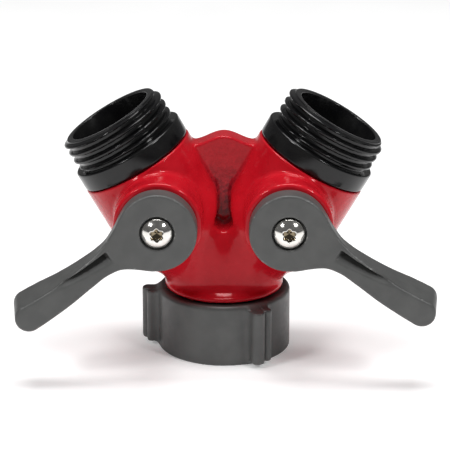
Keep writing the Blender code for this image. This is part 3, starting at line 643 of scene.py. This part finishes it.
def surface(field, low, high, voxel):
    """Points and quads near a field's zero surface, between two corners."""
    axes = [np.arange(low[i] - 2.0 * voxel, high[i] + 2.5 * voxel, voxel) for i in range(3)]
    x, y, z = np.meshgrid(*axes, indexing="ij")
    band = 3.0 * voxel
    grid = openvdb.FloatGrid(band)
    grid.copyFromArray(np.clip(field(x, y, z), -band, band).astype(np.float32))
    points, quads = grid.convertToQuads(0.0)
    points = points.astype(float) * voxel + np.array([axis[0] for axis in axes])
    return points, quads.astype(np.int64)


def quad_mesh(name, points, normals, quads, marks):
    """Smooth mesh with its own normals. Each mark gives a value at every point."""
    mesh = bpy.data.meshes.new(name)
    mesh.vertices.add(len(points))
    mesh.vertices.foreach_set("co", points.ravel())
    mesh.loops.add(quads.size)
    mesh.loops.foreach_set("vertex_index", quads.ravel())
    mesh.polygons.add(len(quads))
    mesh.polygons.foreach_set("loop_start", np.arange(len(quads)) * 4)
    mesh.update(calc_edges=True)
    mesh.shade_smooth()
    mesh.normals_split_custom_set_from_vertices(normals)
    for mark, values in marks.items():
        layer = mesh.attributes.new(mark, "FLOAT", "POINT")
        layer.data.foreach_set("value", values.astype(np.float32))
    return mesh


def solid(name, field, low, high, voxel, place, mask=None):
    """Closed quad mesh on a field's zero surface, between two corners of its own frame.

    Its points carry how sharply the surface bends there, and the mask's share if there is one.
    """
    points, quads = surface(field, low, high, voxel)
    ends = np.vstack([quads[:, [i, (i + 1) % 4]] for i in range(4)])
    for _ in range(EVEN_PASSES):
        points = pull(even_out(points, ends), field, voxel)
    points = np.clip(pull(pull(points, field, voxel), field, voxel), low, high)
    normals = slope_of(field, points)
    normals /= np.maximum(np.linalg.norm(normals, axis=1), 1e-9)[:, None]
    marks = {"edge": bend(points, normals, ends)}
    if mask is not None:
        marks["mask"] = mask(*points.T)
    turn = np.array(place.to_3x3())
    points = points @ turn.T + np.array(place.translation)
    normals = normals @ turn.T
    corners = points[quads]
    facing = np.cross(corners[:, 2] - corners[:, 0], corners[:, 3] - corners[:, 1])
    if (facing * normals[quads[:, 0]]).sum() < 0.0:
        quads = quads[:, ::-1]
    return link(name, quad_mesh(name, points, normals, quads, marks))


def link(name, mesh):
    """Object with a mesh, in the scene."""
    piece = bpy.data.objects.new(name, mesh)
    bpy.context.scene.collection.objects.link(piece)
    return piece


def arc(centre, radius, start, end, steps):
    """Points on an arc in a profile of (radius, height), angles in degrees."""
    points = []
    for step in range(steps + 1):
        angle = math.radians(start + (end - start) * step / steps)
        points.append((centre[0] + radius * math.cos(angle), centre[1] + radius * math.sin(angle)))
    return points


def eased(profile, radius, steps=3):
    """The closed profile with each corner rounded, by less where its sides are short."""
    points = []
    for i, corner in enumerate(profile):
        here = Vector(corner)
        before = Vector(profile[i - 1]) - here
        after = Vector(profile[(i + 1) % len(profile)]) - here
        cut = min(radius, SHORT_SIDE * before.length, SHORT_SIDE * after.length)
        start = here + before.normalized() * cut
        end = here + after.normalized() * cut
        for step in range(steps + 1):
            t = step / steps
            points.append(tuple(start * (1 - t) ** 2 + here * 2 * t * (1 - t) + end * t * t))
    return points


def eased_line(line, radius, steps=3):
    """The rounded corners of an open line. Its first and last points only lead in and out."""
    return eased(line, radius, steps)[steps + 1:-steps - 1]


def washer_profile(inner, outer, low, high, edge):
    return eased([(inner, low), (outer, low), (outer, high), (inner, high)], edge)


def face_outwards(mesh):
    bm = bmesh.new()
    bm.from_mesh(mesh)
    bmesh.ops.recalc_face_normals(bm, faces=bm.faces)
    bm.to_mesh(mesh)
    bm.free()


def lathe(name, profile, sides, place, thread=None):
    """Turned solid over a closed profile. A thread adds its ridge to the radius."""
    angles = math.tau * np.arange(sides) / sides
    rings = []
    for radius, height in profile:
        spread = np.full(sides, radius)
        if thread is not None:
            spread = spread + thread(radius, height, angles)
        level = np.full(sides, height)
        rings.append(np.column_stack((spread * np.cos(angles), spread * np.sin(angles), level)))
    points = np.vstack(rings)
    here = np.arange(sides)
    after = (here + 1) % sides
    quads = []
    for row in range(len(profile)):
        low, high = row * sides, ((row + 1) % len(profile)) * sides
        quads.append(np.column_stack((low + here, low + after, high + after, high + here)))
    mesh = bpy.data.meshes.new(name)
    mesh.from_pydata(points.tolist(), [], np.vstack(quads).tolist())
    face_outwards(mesh)
    mesh.transform(place)
    mesh.shade_smooth()
    mesh.set_sharp_from_angle(angle=SHARP_ANGLE)
    return link(name, mesh)


def port_frame():
    """On the port axis at the nut's foot, Z up."""
    return Matrix.Translation((0, PORT_Y, 0))


def arm_frame(side):
    """At the ball's centre, Z along the arm to its outlet."""
    place = Matrix.Translation((side * BALL_X, PORT_Y, BALL_Z))
    return place @ Matrix.Rotation(side * ARM_TILT, 4, "Y")


def forwards(place):
    """The same place with Z to the front."""
    return place @ Matrix.Rotation(math.radians(90.0), 4, "X")


def drive_frame(side):
    """Turned with the lever, Z to the front."""
    return forwards(arm_frame(side) @ Matrix.Rotation(side * DROOP[side], 4, "Y"))


# --- pieces ------------------------------------------------------------------------------------

def show(piece, node, body, finish):
    """Ties a piece to its body, to the solid it replaces, and to its finish."""
    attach(piece, body)
    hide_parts(node)
    piece.data.materials.clear()
    piece.data.materials.append(finish)
    return piece


def make_body(finish):
    low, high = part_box("body")
    body = solid("cast_body", body_field, low, high, BODY_VOXEL, Matrix.Identity(4), cast_skin)
    show(body, "body", "casting", finish)


def outlet_profile(low, high):
    """Outline of an outlet, its threaded run from low to high in rows."""
    rows = [(RIM_R, low + (high - low) * row / THREAD_ROWS) for row in range(THREAD_ROWS + 1)]
    collar = [(SPIGOT_R, COLLAR_BOTTOM), (COLLAR_R, COLLAR_BOTTOM), (COLLAR_R, COLLAR_TOP),
              (RIM_R, COLLAR_TOP), (RIM_R, low)]
    rim_top = RIM_TOP - RIM_INSET
    rim = [(RIM_R, high), (RIM_R, rim_top), (OUTLET_BORE_R, rim_top),
           (OUTLET_BORE_R, OUTLET_CONE[0]), (PASSAGE_R, OUTLET_CONE[1]), (PASSAGE_R, SHOULDER),
           (SPIGOT_R, SHOULDER), (SPIGOT_R, OUTLET_GROOVE[0]),
           (OUTLET_GROOVE_R, OUTLET_GROOVE[0]), (OUTLET_GROOVE_R, OUTLET_GROOVE[1]),
           (SPIGOT_R, OUTLET_GROOVE[1]), (SPIGOT_R, COLLAR_BOTTOM)]
    return ([(SPIGOT_R, COLLAR_BOTTOM)] + eased_line(collar, COLLAR_EDGE, COLLAR_STEPS) + rows
            + eased_line(rim, RIM_EDGE))


def make_outlet(side, label, finish):
    low, high = MALE_THREAD

    def thread(radius, height, angles):
        if abs(radius - RIM_R) > 1e-6 or not low <= height <= high:
            return 0.0
        turns = (height - low) / PITCH - angles / math.tau
        fade = ramp(np.minimum(height - low, high - height), THREAD_FADE * PITCH)
        return (MALE_CREST_R - RIM_R) * ridge(turns) * fade * (2.0 - fade)

    outlet = lathe(label + "_hose_outlet", outlet_profile(low, high), OUTLET_ROUND,
                   arm_frame(side), thread)
    show(outlet, label + "_outlet", "casting", finish)


def make_ring(name, node, body, size, height, place, finish):
    """O-ring of a size (radius, cord radius) at a height of its place."""
    radius, cord = size
    last = 360.0 - 360.0 / CORD_SIDES
    profile = arc((radius, height), cord, 0, last, CORD_SIDES - 1)
    show(lathe(name, profile, SMALL_ROUND, place), node, body, finish)


def make_nut(finish):
    reach = WIDE_RIB[0] + WIDE_RIB[1]
    lowest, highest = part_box("swivel_nut")
    low = (-reach, lowest.y - PORT_Y, 0.0)
    high = (reach, highest.y - PORT_Y, NUT_HEIGHT)
    # the mask paints shade on the nut's top land and rib tops
    nut = solid("grip_nut", nut_field, low, high, NUT_VOXEL, port_frame(), painted_shade_on_nut)
    show(nut, "swivel_nut", "nut", finish)


def make_tailpiece(brass, rubber):
    sleeve_top = INLET_BORE_TOP - GAP
    profile = [(SLEEVE_BORE_R, TAIL_FLANGE[0]), (TAIL_FLANGE_R, TAIL_FLANGE[0]),
               (TAIL_FLANGE_R, TAIL_FLANGE[1]), (SLEEVE_R, TAIL_FLANGE[1]),
               (SLEEVE_R, TAIL_GROOVE[0]), (TAIL_GROOVE_R, TAIL_GROOVE[0]),
               (TAIL_GROOVE_R, TAIL_GROOVE[1]), (SLEEVE_R, TAIL_GROOVE[1]),
               (SLEEVE_R, sleeve_top), (SLEEVE_BORE_R, sleeve_top)]
    sleeve = lathe("inlet_sleeve", eased(profile, TAIL_EDGE), ROUND, port_frame())
    show(sleeve, "inlet_tailpiece", "casting", brass)
    make_ring("sleeve_o_ring", "tailpiece_o_ring", "casting", TAIL_RING, sum(TAIL_GROOVE) / 2.0,
              port_frame(), rubber)
    profile = washer_profile(SLEEVE_BORE_R, TAIL_FLANGE_R, *HOSE_WASHER, HOSE_WASHER_EDGE)
    washer = lathe("hose_washer", profile, ROUND, port_frame())
    show(washer, "inlet_washer", "nut", rubber)


def seat_profile():
    """A seat hollowed to the ball, with Z along the waterway from the ball's centre."""
    reach = BALL_R + GAP
    skirt = math.degrees(math.asin(SEAT_SKIRT / reach))
    throat = math.degrees(math.acos(PASSAGE_R / reach))
    hollow = arc((0.0, 0.0), reach, throat, skirt, SEAT_STEPS)
    return hollow + [(SEAT_R, SEAT_SKIRT), (SEAT_R, SHOULDER - GAP), (PASSAGE_R, SHOULDER - GAP)]


def make_valve(side, label, steel, brass):
    body = label + "_valve"
    drive = drive_frame(side)
    reach = (BALL_R,) * 3
    ball = solid(label + "_valve_ball", ball_field, [-r for r in reach], reach, BALL_VOXEL, drive)
    show(ball, label + "_ball", body, steel)
    low = (-STEM_FLANGE_R, -STEM_FLANGE_R, SLOT_FLOOR)
    high = (STEM_FLANGE_R, STEM_FLANGE_R, DRIVE_END)
    stem = solid(label + "_valve_stem", stem_field, low, high, STEM_VOXEL, drive)
    show(stem, label + "_stem", body, brass)


def make_seats(side, label, white):
    for end, place in (("outer", arm_frame(side)),
                       ("inner", arm_frame(side) @ Matrix.Rotation(math.pi, 4, "X"))):
        seat = lathe(label + "_" + end + "_seat_ring", seat_profile(), ROUND, place)
        show(seat, label + "_" + end + "_seat", "casting", white)
    low = STEM_FLANGE_OUT + GAP
    profile = washer_profile(STEM_R + GAP, STEM_FLANGE_R, low, low + WASHER_THICK, THIN_EDGE)
    washer = lathe(label + "_stem_washer", profile, SMALL_ROUND, forwards(arm_frame(side)))
    show(washer, label + "_thrust_washer", "casting", white)


def make_seals(side, label, rubber):
    make_ring(label + "_stem_seal", label + "_stem_o_ring", "casting", STEM_RING,
              sum(STEM_GROOVE) / 2.0, forwards(arm_frame(side)), rubber)
    make_ring(label + "_spigot_seal", label + "_outlet_o_ring", "casting", OUTLET_RING,
              sum(OUTLET_GROOVE) / 2.0, arm_frame(side), rubber)


def make_lever(side, label, finish):
    near, far = sorted((-side * HUB_R, side * LEVER_TIP))
    high = max(row[1] for row in LEVER_STATIONS[-2:]) + GAP
    low = (near, -HUB_R, HUB_BACK)
    top = (far, max(high, HUB_R), LEVER_STATIONS[-1][3])
    # the mask paints shade inside the pocket in the lever's front
    lever = solid(label + "_handle", lever_field(side), low, top, LEVER_VOXEL, drive_frame(side),
                  pocket_painted_shade(side))
    show(lever, label + "_lever", label + "_valve", finish)


def make_screw(side, label, finish):
    low = (-HEAD_R, -HEAD_R, SCREW_TIP)
    high = (HEAD_R, HEAD_R, HEAD_SEAT + GAP + HEAD_HEIGHT)
    # the mask paints shade inside the socket
    screw = solid(label + "_star_screw", screw_field, low, high, SCREW_VOXEL, drive_frame(side),
                  socket_painted_shade)
    show(screw, label + "_lever_screw", label + "_valve", finish)


# --- finishes ----------------------------------------------------------------------------------

class Finish:
    """A node material with the patterns that the finishes share. Scales are in millimetres."""

    def __init__(self, name):
        self.material = bpy.data.materials.new(name)
        self.material.use_nodes = True
        self.nodes = self.material.node_tree.nodes
        self.links = self.material.node_tree.links
        self.shader = self.nodes["Principled BSDF"]
        place = self.nodes.new("ShaderNodeTexCoord")
        self.place = self.nodes.new("ShaderNodeVectorMath")
        self.place.operation = "SCALE"
        self.place.inputs["Scale"].default_value = 1000.0
        self.links.new(place.outputs["Object"], self.place.inputs[0])

    def set(self, **values):
        for name, value in values.items():
            self.shader.inputs[name.replace("_", " ")].default_value = value

    def noise(self, size, detail=3.0, roughness=0.5, stretch=None):
        """Noise from 0 to 1 whose features are about a size across."""
        node = self.nodes.new("ShaderNodeTexNoise")
        node.inputs["Scale"].default_value = 1.0 / size
        node.inputs["Detail"].default_value = detail
        node.inputs["Roughness"].default_value = roughness
        source = self.place.outputs[0]
        if stretch is not None:
            source = self.math_vector("MULTIPLY", source, stretch)
        self.links.new(source, node.inputs["Vector"])
        return node.outputs["Fac"]

    def math_vector(self, operation, source, value):
        node = self.nodes.new("ShaderNodeVectorMath")
        node.operation = operation
        self.links.new(source, node.inputs[0])
        node.inputs[1].default_value = value
        return node.outputs[0]

    def math(self, operation, a, b):
        node = self.nodes.new("ShaderNodeMath")
        node.operation = operation
        for socket, value in zip(node.inputs, (a, b)):
            if isinstance(value, (int, float)):
                socket.default_value = value
            else:
                self.links.new(value, socket)
        return node.outputs[0]

    def spread(self, source, low, high, to_low=0.0, to_high=1.0):
        """Maps a range onto another one, softly at its ends and clamped."""
        node = self.nodes.new("ShaderNodeMapRange")
        node.interpolation_type = "SMOOTHSTEP"
        self.links.new(source, node.inputs["Value"])
        ends = {"From Min": low, "From Max": high, "To Min": to_low, "To Max": to_high}
        for socket, value in ends.items():
            node.inputs[socket].default_value = value
        return node.outputs["Result"]

    def edges(self, low, high):
        """From 0 on flat surfaces to 1 where the surface bends by that much, in 1/m."""
        return self.spread(self.mark("edge"), low, high)

    def mark(self, name):
        """A value that the mesh carries at each point, 0 where it carries none."""
        node = self.nodes.new("ShaderNodeAttribute")
        node.attribute_name = name
        return node.outputs["Fac"]

    def mix(self, share, first, second):
        """Colour mix. Either colour is a value or another mix."""
        node = self.nodes.new("ShaderNodeMix")
        node.data_type = "RGBA"
        self.links.new(share, node.inputs["Factor"])
        for socket, value in ((node.inputs[6], first), (node.inputs[7], second)):
            if isinstance(value, tuple):
                socket.default_value = (*value, 1.0)
            else:
                self.links.new(value, socket)
        return node.outputs[2]

    def bump(self, height, distance, before=None):
        """Bump by a height pattern, its full depth being a distance in millimetres."""
        node = self.nodes.new("ShaderNodeBump")
        node.inputs["Strength"].default_value = 1.0
        node.inputs["Distance"].default_value = distance / 1000.0
        self.links.new(height, node.inputs["Height"])
        if before is not None:
            self.links.new(before, node.inputs["Normal"])
        return node.outputs["Normal"]

    def use(self, name, source):
        self.links.new(source, self.shader.inputs[name])


def enamel_finish():
    """Glossy red enamel, dull and grained on the skin that the mask marks."""
    finish = Finish("red_enamel")
    grained = finish.mark("mask")
    blotch = finish.noise(7.0, 2.0)
    colour = finish.mix(finish.spread(blotch, 0.3, 0.7), (0.42, 0.005, 0.012), (0.50, 0.009, 0.018))
    dull = finish.spread(finish.noise(0.9, 5.0, 0.6), 0.35, 0.65)
    skin = finish.mix(dull, (0.17, 0.006, 0.012), (0.42, 0.018, 0.030))
    colour = finish.mix(grained, colour, skin)
    # lighter red on sharp edges: partly chipped wear, partly a painted edge highlight
    chip_and_glint_spots = finish.spread(finish.noise(0.9, 4.0), 0.45, 0.7)
    wear_and_edge_highlight = finish.math("MULTIPLY", finish.edges(700.0, 2200.0), chip_and_glint_spots)
    colour = finish.mix(finish.math("MULTIPLY", wear_and_edge_highlight, 0.35), colour, (0.75, 0.10, 0.10))
    finish.use("Base Color", colour)
    rough = finish.spread(finish.noise(2.2, 4.0), 0.3, 0.75, 0.20, 0.30)
    finish.use("Roughness", finish.math("ADD", rough, finish.math("MULTIPLY", grained, 0.30)))
    waves = finish.bump(finish.noise(2.6, 2.0), 0.11)
    peel = finish.bump(finish.noise(1.3, 1.0), 0.014, waves)
    crumbs = finish.math("MULTIPLY", finish.noise(0.45, 5.0, 0.65), grained)
    finish.use("Normal", finish.bump(crumbs, 0.45, peel))
    finish.set(Coat_Weight=0.30, Coat_Roughness=0.03, Specular_IOR_Level=0.30)
    finish.set(Specular_Tint=(1.0, 0.10, 0.12, 1.0))
    return finish.material


def gloss_finish():
    """Glossy black moulding with faint flow marks and handling scratches."""
    finish = Finish("gloss_black")
    blotch = finish.spread(finish.noise(4.0, 3.0), 0.35, 0.7)
    finish.use("Base Color", finish.mix(blotch, (0.0045, 0.0045, 0.005), (0.008, 0.008, 0.008)))
    finish.use("Roughness", finish.spread(finish.noise(1.6, 4.0), 0.35, 0.75, 0.12, 0.20))
    flow = finish.bump(finish.noise(3.5, 1.0, 0.5, (1.0, 1.0, 0.4)), 0.010)
    finish.use("Normal", finish.bump(finish.noise(0.25, 2.0), 0.0012, flow))
    finish.set(Specular_IOR_Level=0.36)
    return finish.material


def satin_finish():
    """Satin dark grey moulding with a fine grain and rubbed edges that are partly painted edge
    highlights, with painted shade where masked.
    """
    finish = Finish("satin_grey")
    blotch = finish.spread(finish.noise(5.0, 3.0), 0.3, 0.7)
    colour = finish.mix(blotch, (0.060, 0.061, 0.060), (0.074, 0.075, 0.073))
    # lighter grey on sharp edges: partly rubbed wear, partly a painted edge highlight
    chip_and_glint_spots = finish.spread(finish.noise(0.8, 4.0, 0.6), 0.55, 0.75)
    wear_and_edge_highlight = finish.math("MULTIPLY", finish.edges(350.0, 1300.0), chip_and_glint_spots)
    colour = finish.mix(finish.math("MULTIPLY", wear_and_edge_highlight, 0.8), colour, (0.34, 0.34, 0.33))
    # painted shade where the mask says: the nut's top faces and the lever's pocket
    finish.use("Base Color", finish.mix(finish.mark("mask"), colour, (0.018, 0.018, 0.017)))
    finish.use("Roughness", finish.spread(finish.noise(1.5, 4.0), 0.3, 0.7, 0.40, 0.50))
    soft = finish.bump(finish.noise(3.0, 1.0), 0.015)
    finish.use("Normal", finish.bump(finish.noise(0.16, 3.0, 0.6), 0.009, soft))
    return finish.material


def steel_finish():
    """Tumbled and polished stainless steel with fine scratches, with brown painted shade where
    masked.
    """
    finish = Finish("polished_stainless")
    blotch = finish.spread(finish.noise(1.2, 3.0), 0.3, 0.7)
    colour = finish.mix(blotch, (0.70, 0.68, 0.64), (0.78, 0.76, 0.73))
    # brown painted shade where the mask says, inside the screw's socket
    finish.use("Base Color", finish.mix(finish.mark("mask"), colour, (0.22, 0.18, 0.12)))
    finish.use("Roughness", finish.spread(finish.noise(0.6, 5.0, 0.6), 0.35, 0.75, 0.07, 0.20))
    scratches = finish.noise(0.25, 4.0, 0.6, (0.35, 3.0, 1.0))
    finish.use("Normal", finish.bump(scratches, 0.0015))
    finish.set(Metallic=1.0)
    return finish.material


def brass_finish():
    """Turned brass with tool rings and light tarnish."""
    finish = Finish("turned_brass")
    tarnish = finish.spread(finish.noise(2.0, 5.0, 0.6), 0.45, 0.75)
    finish.use("Base Color", finish.mix(tarnish, (0.78, 0.56, 0.26), (0.48, 0.32, 0.15)))
    finish.use("Roughness", finish.spread(finish.noise(0.8, 4.0), 0.3, 0.7, 0.18, 0.36))
    rings = finish.noise(0.22, 1.0, 0.5, (0.05, 0.05, 1.0))
    finish.use("Normal", finish.bump(rings, 0.004))
    finish.set(Metallic=1.0)
    return finish.material


def seat_finish():
    """White fluoropolymer, waxy and slightly mottled."""
    finish = Finish("white_fluoropolymer")
    blotch = finish.spread(finish.noise(1.5, 3.0), 0.3, 0.7)
    finish.use("Base Color", finish.mix(blotch, (0.76, 0.75, 0.72), (0.82, 0.81, 0.79)))
    finish.use("Roughness", finish.spread(finish.noise(0.9, 3.0), 0.3, 0.7, 0.38, 0.52))
    finish.use("Normal", finish.bump(finish.noise(0.35, 2.0), 0.003))
    return finish.material


def rubber_finish():
    """Soft black rubber with a dusty bloom."""
    finish = Finish("soft_rubber")
    bloom = finish.spread(finish.noise(1.8, 5.0, 0.6), 0.45, 0.75)
    finish.use("Base Color", finish.mix(bloom, (0.016, 0.016, 0.016), (0.040, 0.039, 0.037)))
    finish.use("Roughness", finish.spread(finish.noise(0.7, 4.0), 0.3, 0.7, 0.55, 0.75))
    finish.use("Normal", finish.bump(finish.noise(0.14, 3.0), 0.006))
    return finish.material


# --- studio ------------------------------------------------------------------------------------

VIEW_AZIMUTH = math.radians(0.5)
VIEW_HEIGHT = math.radians(19.05)
VIEW_DISTANCE = 0.558
VIEW_TARGET = Vector((0.00023, PORT_Y, 0.03094))
LENS = 180.4
SENSOR = 36.0
NEAR_CLIP = 0.01
FLOOR_REACH = 3.0
FLOOR_DROP = 0.00002            # keeps the floor clear of the nut's foot
FLOOR_GLOW = 0.24
WORLD_STRENGTH = 0.14
LAMP_TARGET = (0.0, 0.0, 0.03)
# name, place, size, power
LAMPS = (
    ("overhead", (0.0, 0.06, 0.75), (0.52, 0.26), 4.7),
    ("left_front", (-0.46, -0.36, 0.52), (0.15, 0.15), 1.9),
    ("right_front", (0.46, -0.36, 0.52), (0.15, 0.15), 1.9),
)


def place_camera():
    data = bpy.data.cameras.new("camera")
    data.lens = LENS
    data.sensor_width = SENSOR
    data.clip_start = NEAR_CLIP
    camera = bpy.data.objects.new("camera", data)
    bpy.context.scene.collection.objects.link(camera)
    back = Vector((math.sin(VIEW_AZIMUTH) * math.cos(VIEW_HEIGHT),
                   -math.cos(VIEW_AZIMUTH) * math.cos(VIEW_HEIGHT), math.sin(VIEW_HEIGHT)))
    camera.location = VIEW_TARGET + back * VIEW_DISTANCE
    camera.rotation_euler = back.to_track_quat("Z", "Y").to_euler()
    bpy.context.scene.camera = camera


def lamp(name, place, size, power):
    data = bpy.data.lights.new(name, "AREA")
    data.shape = "RECTANGLE"
    data.size, data.size_y = size
    data.energy = power
    light = bpy.data.objects.new(name, data)
    bpy.context.scene.collection.objects.link(light)
    light.location = place
    light.rotation_euler = (Vector(place) - Vector(LAMP_TARGET)).to_track_quat("Z", "Y").to_euler()


def add_floor():
    mesh = bpy.data.meshes.new("floor")
    signs = ((-1, -1), (1, -1), (1, 1), (-1, 1))
    corners = [(across * FLOOR_REACH, deep * FLOOR_REACH, 0) for across, deep in signs]
    mesh.from_pydata(corners, [], [(0, 1, 2, 3)])
    floor = link("floor", mesh)
    floor.location.z = CAD_BOX[0][2] - FLOOR_DROP
    finish = Finish("pale_floor")
    soft = finish.spread(finish.noise(40.0, 2.0), 0.3, 0.7)
    finish.use("Base Color", finish.mix(soft, (0.86, 0.86, 0.86), (0.88, 0.88, 0.88)))
    finish.set(Roughness=0.8, Emission_Color=(1.0, 1.0, 1.0, 1.0), Emission_Strength=FLOOR_GLOW)
    mesh.materials.append(finish.material)


def light_studio():
    world = bpy.data.worlds.new("studio")
    world.use_nodes = True
    back = world.node_tree.nodes["Background"]
    back.inputs["Color"].default_value = (1.0, 1.0, 1.0, 1.0)
    back.inputs["Strength"].default_value = WORLD_STRENGTH
    bpy.context.scene.world = world
    for name, place, size, power in LAMPS:
        lamp(name, place, size, power)
    bpy.context.scene.view_settings.view_transform = "Standard"


def main():
    red = enamel_finish()
    black = gloss_finish()
    grey = satin_finish()
    steel = steel_finish()
    brass = brass_finish()
    white = seat_finish()
    rubber = rubber_finish()
    make_body(red)
    make_nut(grey)
    make_tailpiece(brass, rubber)
    for side, label in SIDES:
        make_outlet(side, label, black)
        make_valve(side, label, steel, brass)
        make_seats(side, label, white)
        make_seals(side, label, rubber)
        make_lever(side, label, grey)
        make_screw(side, label, steel)
    place_camera()
    light_studio()
    add_floor()


main()
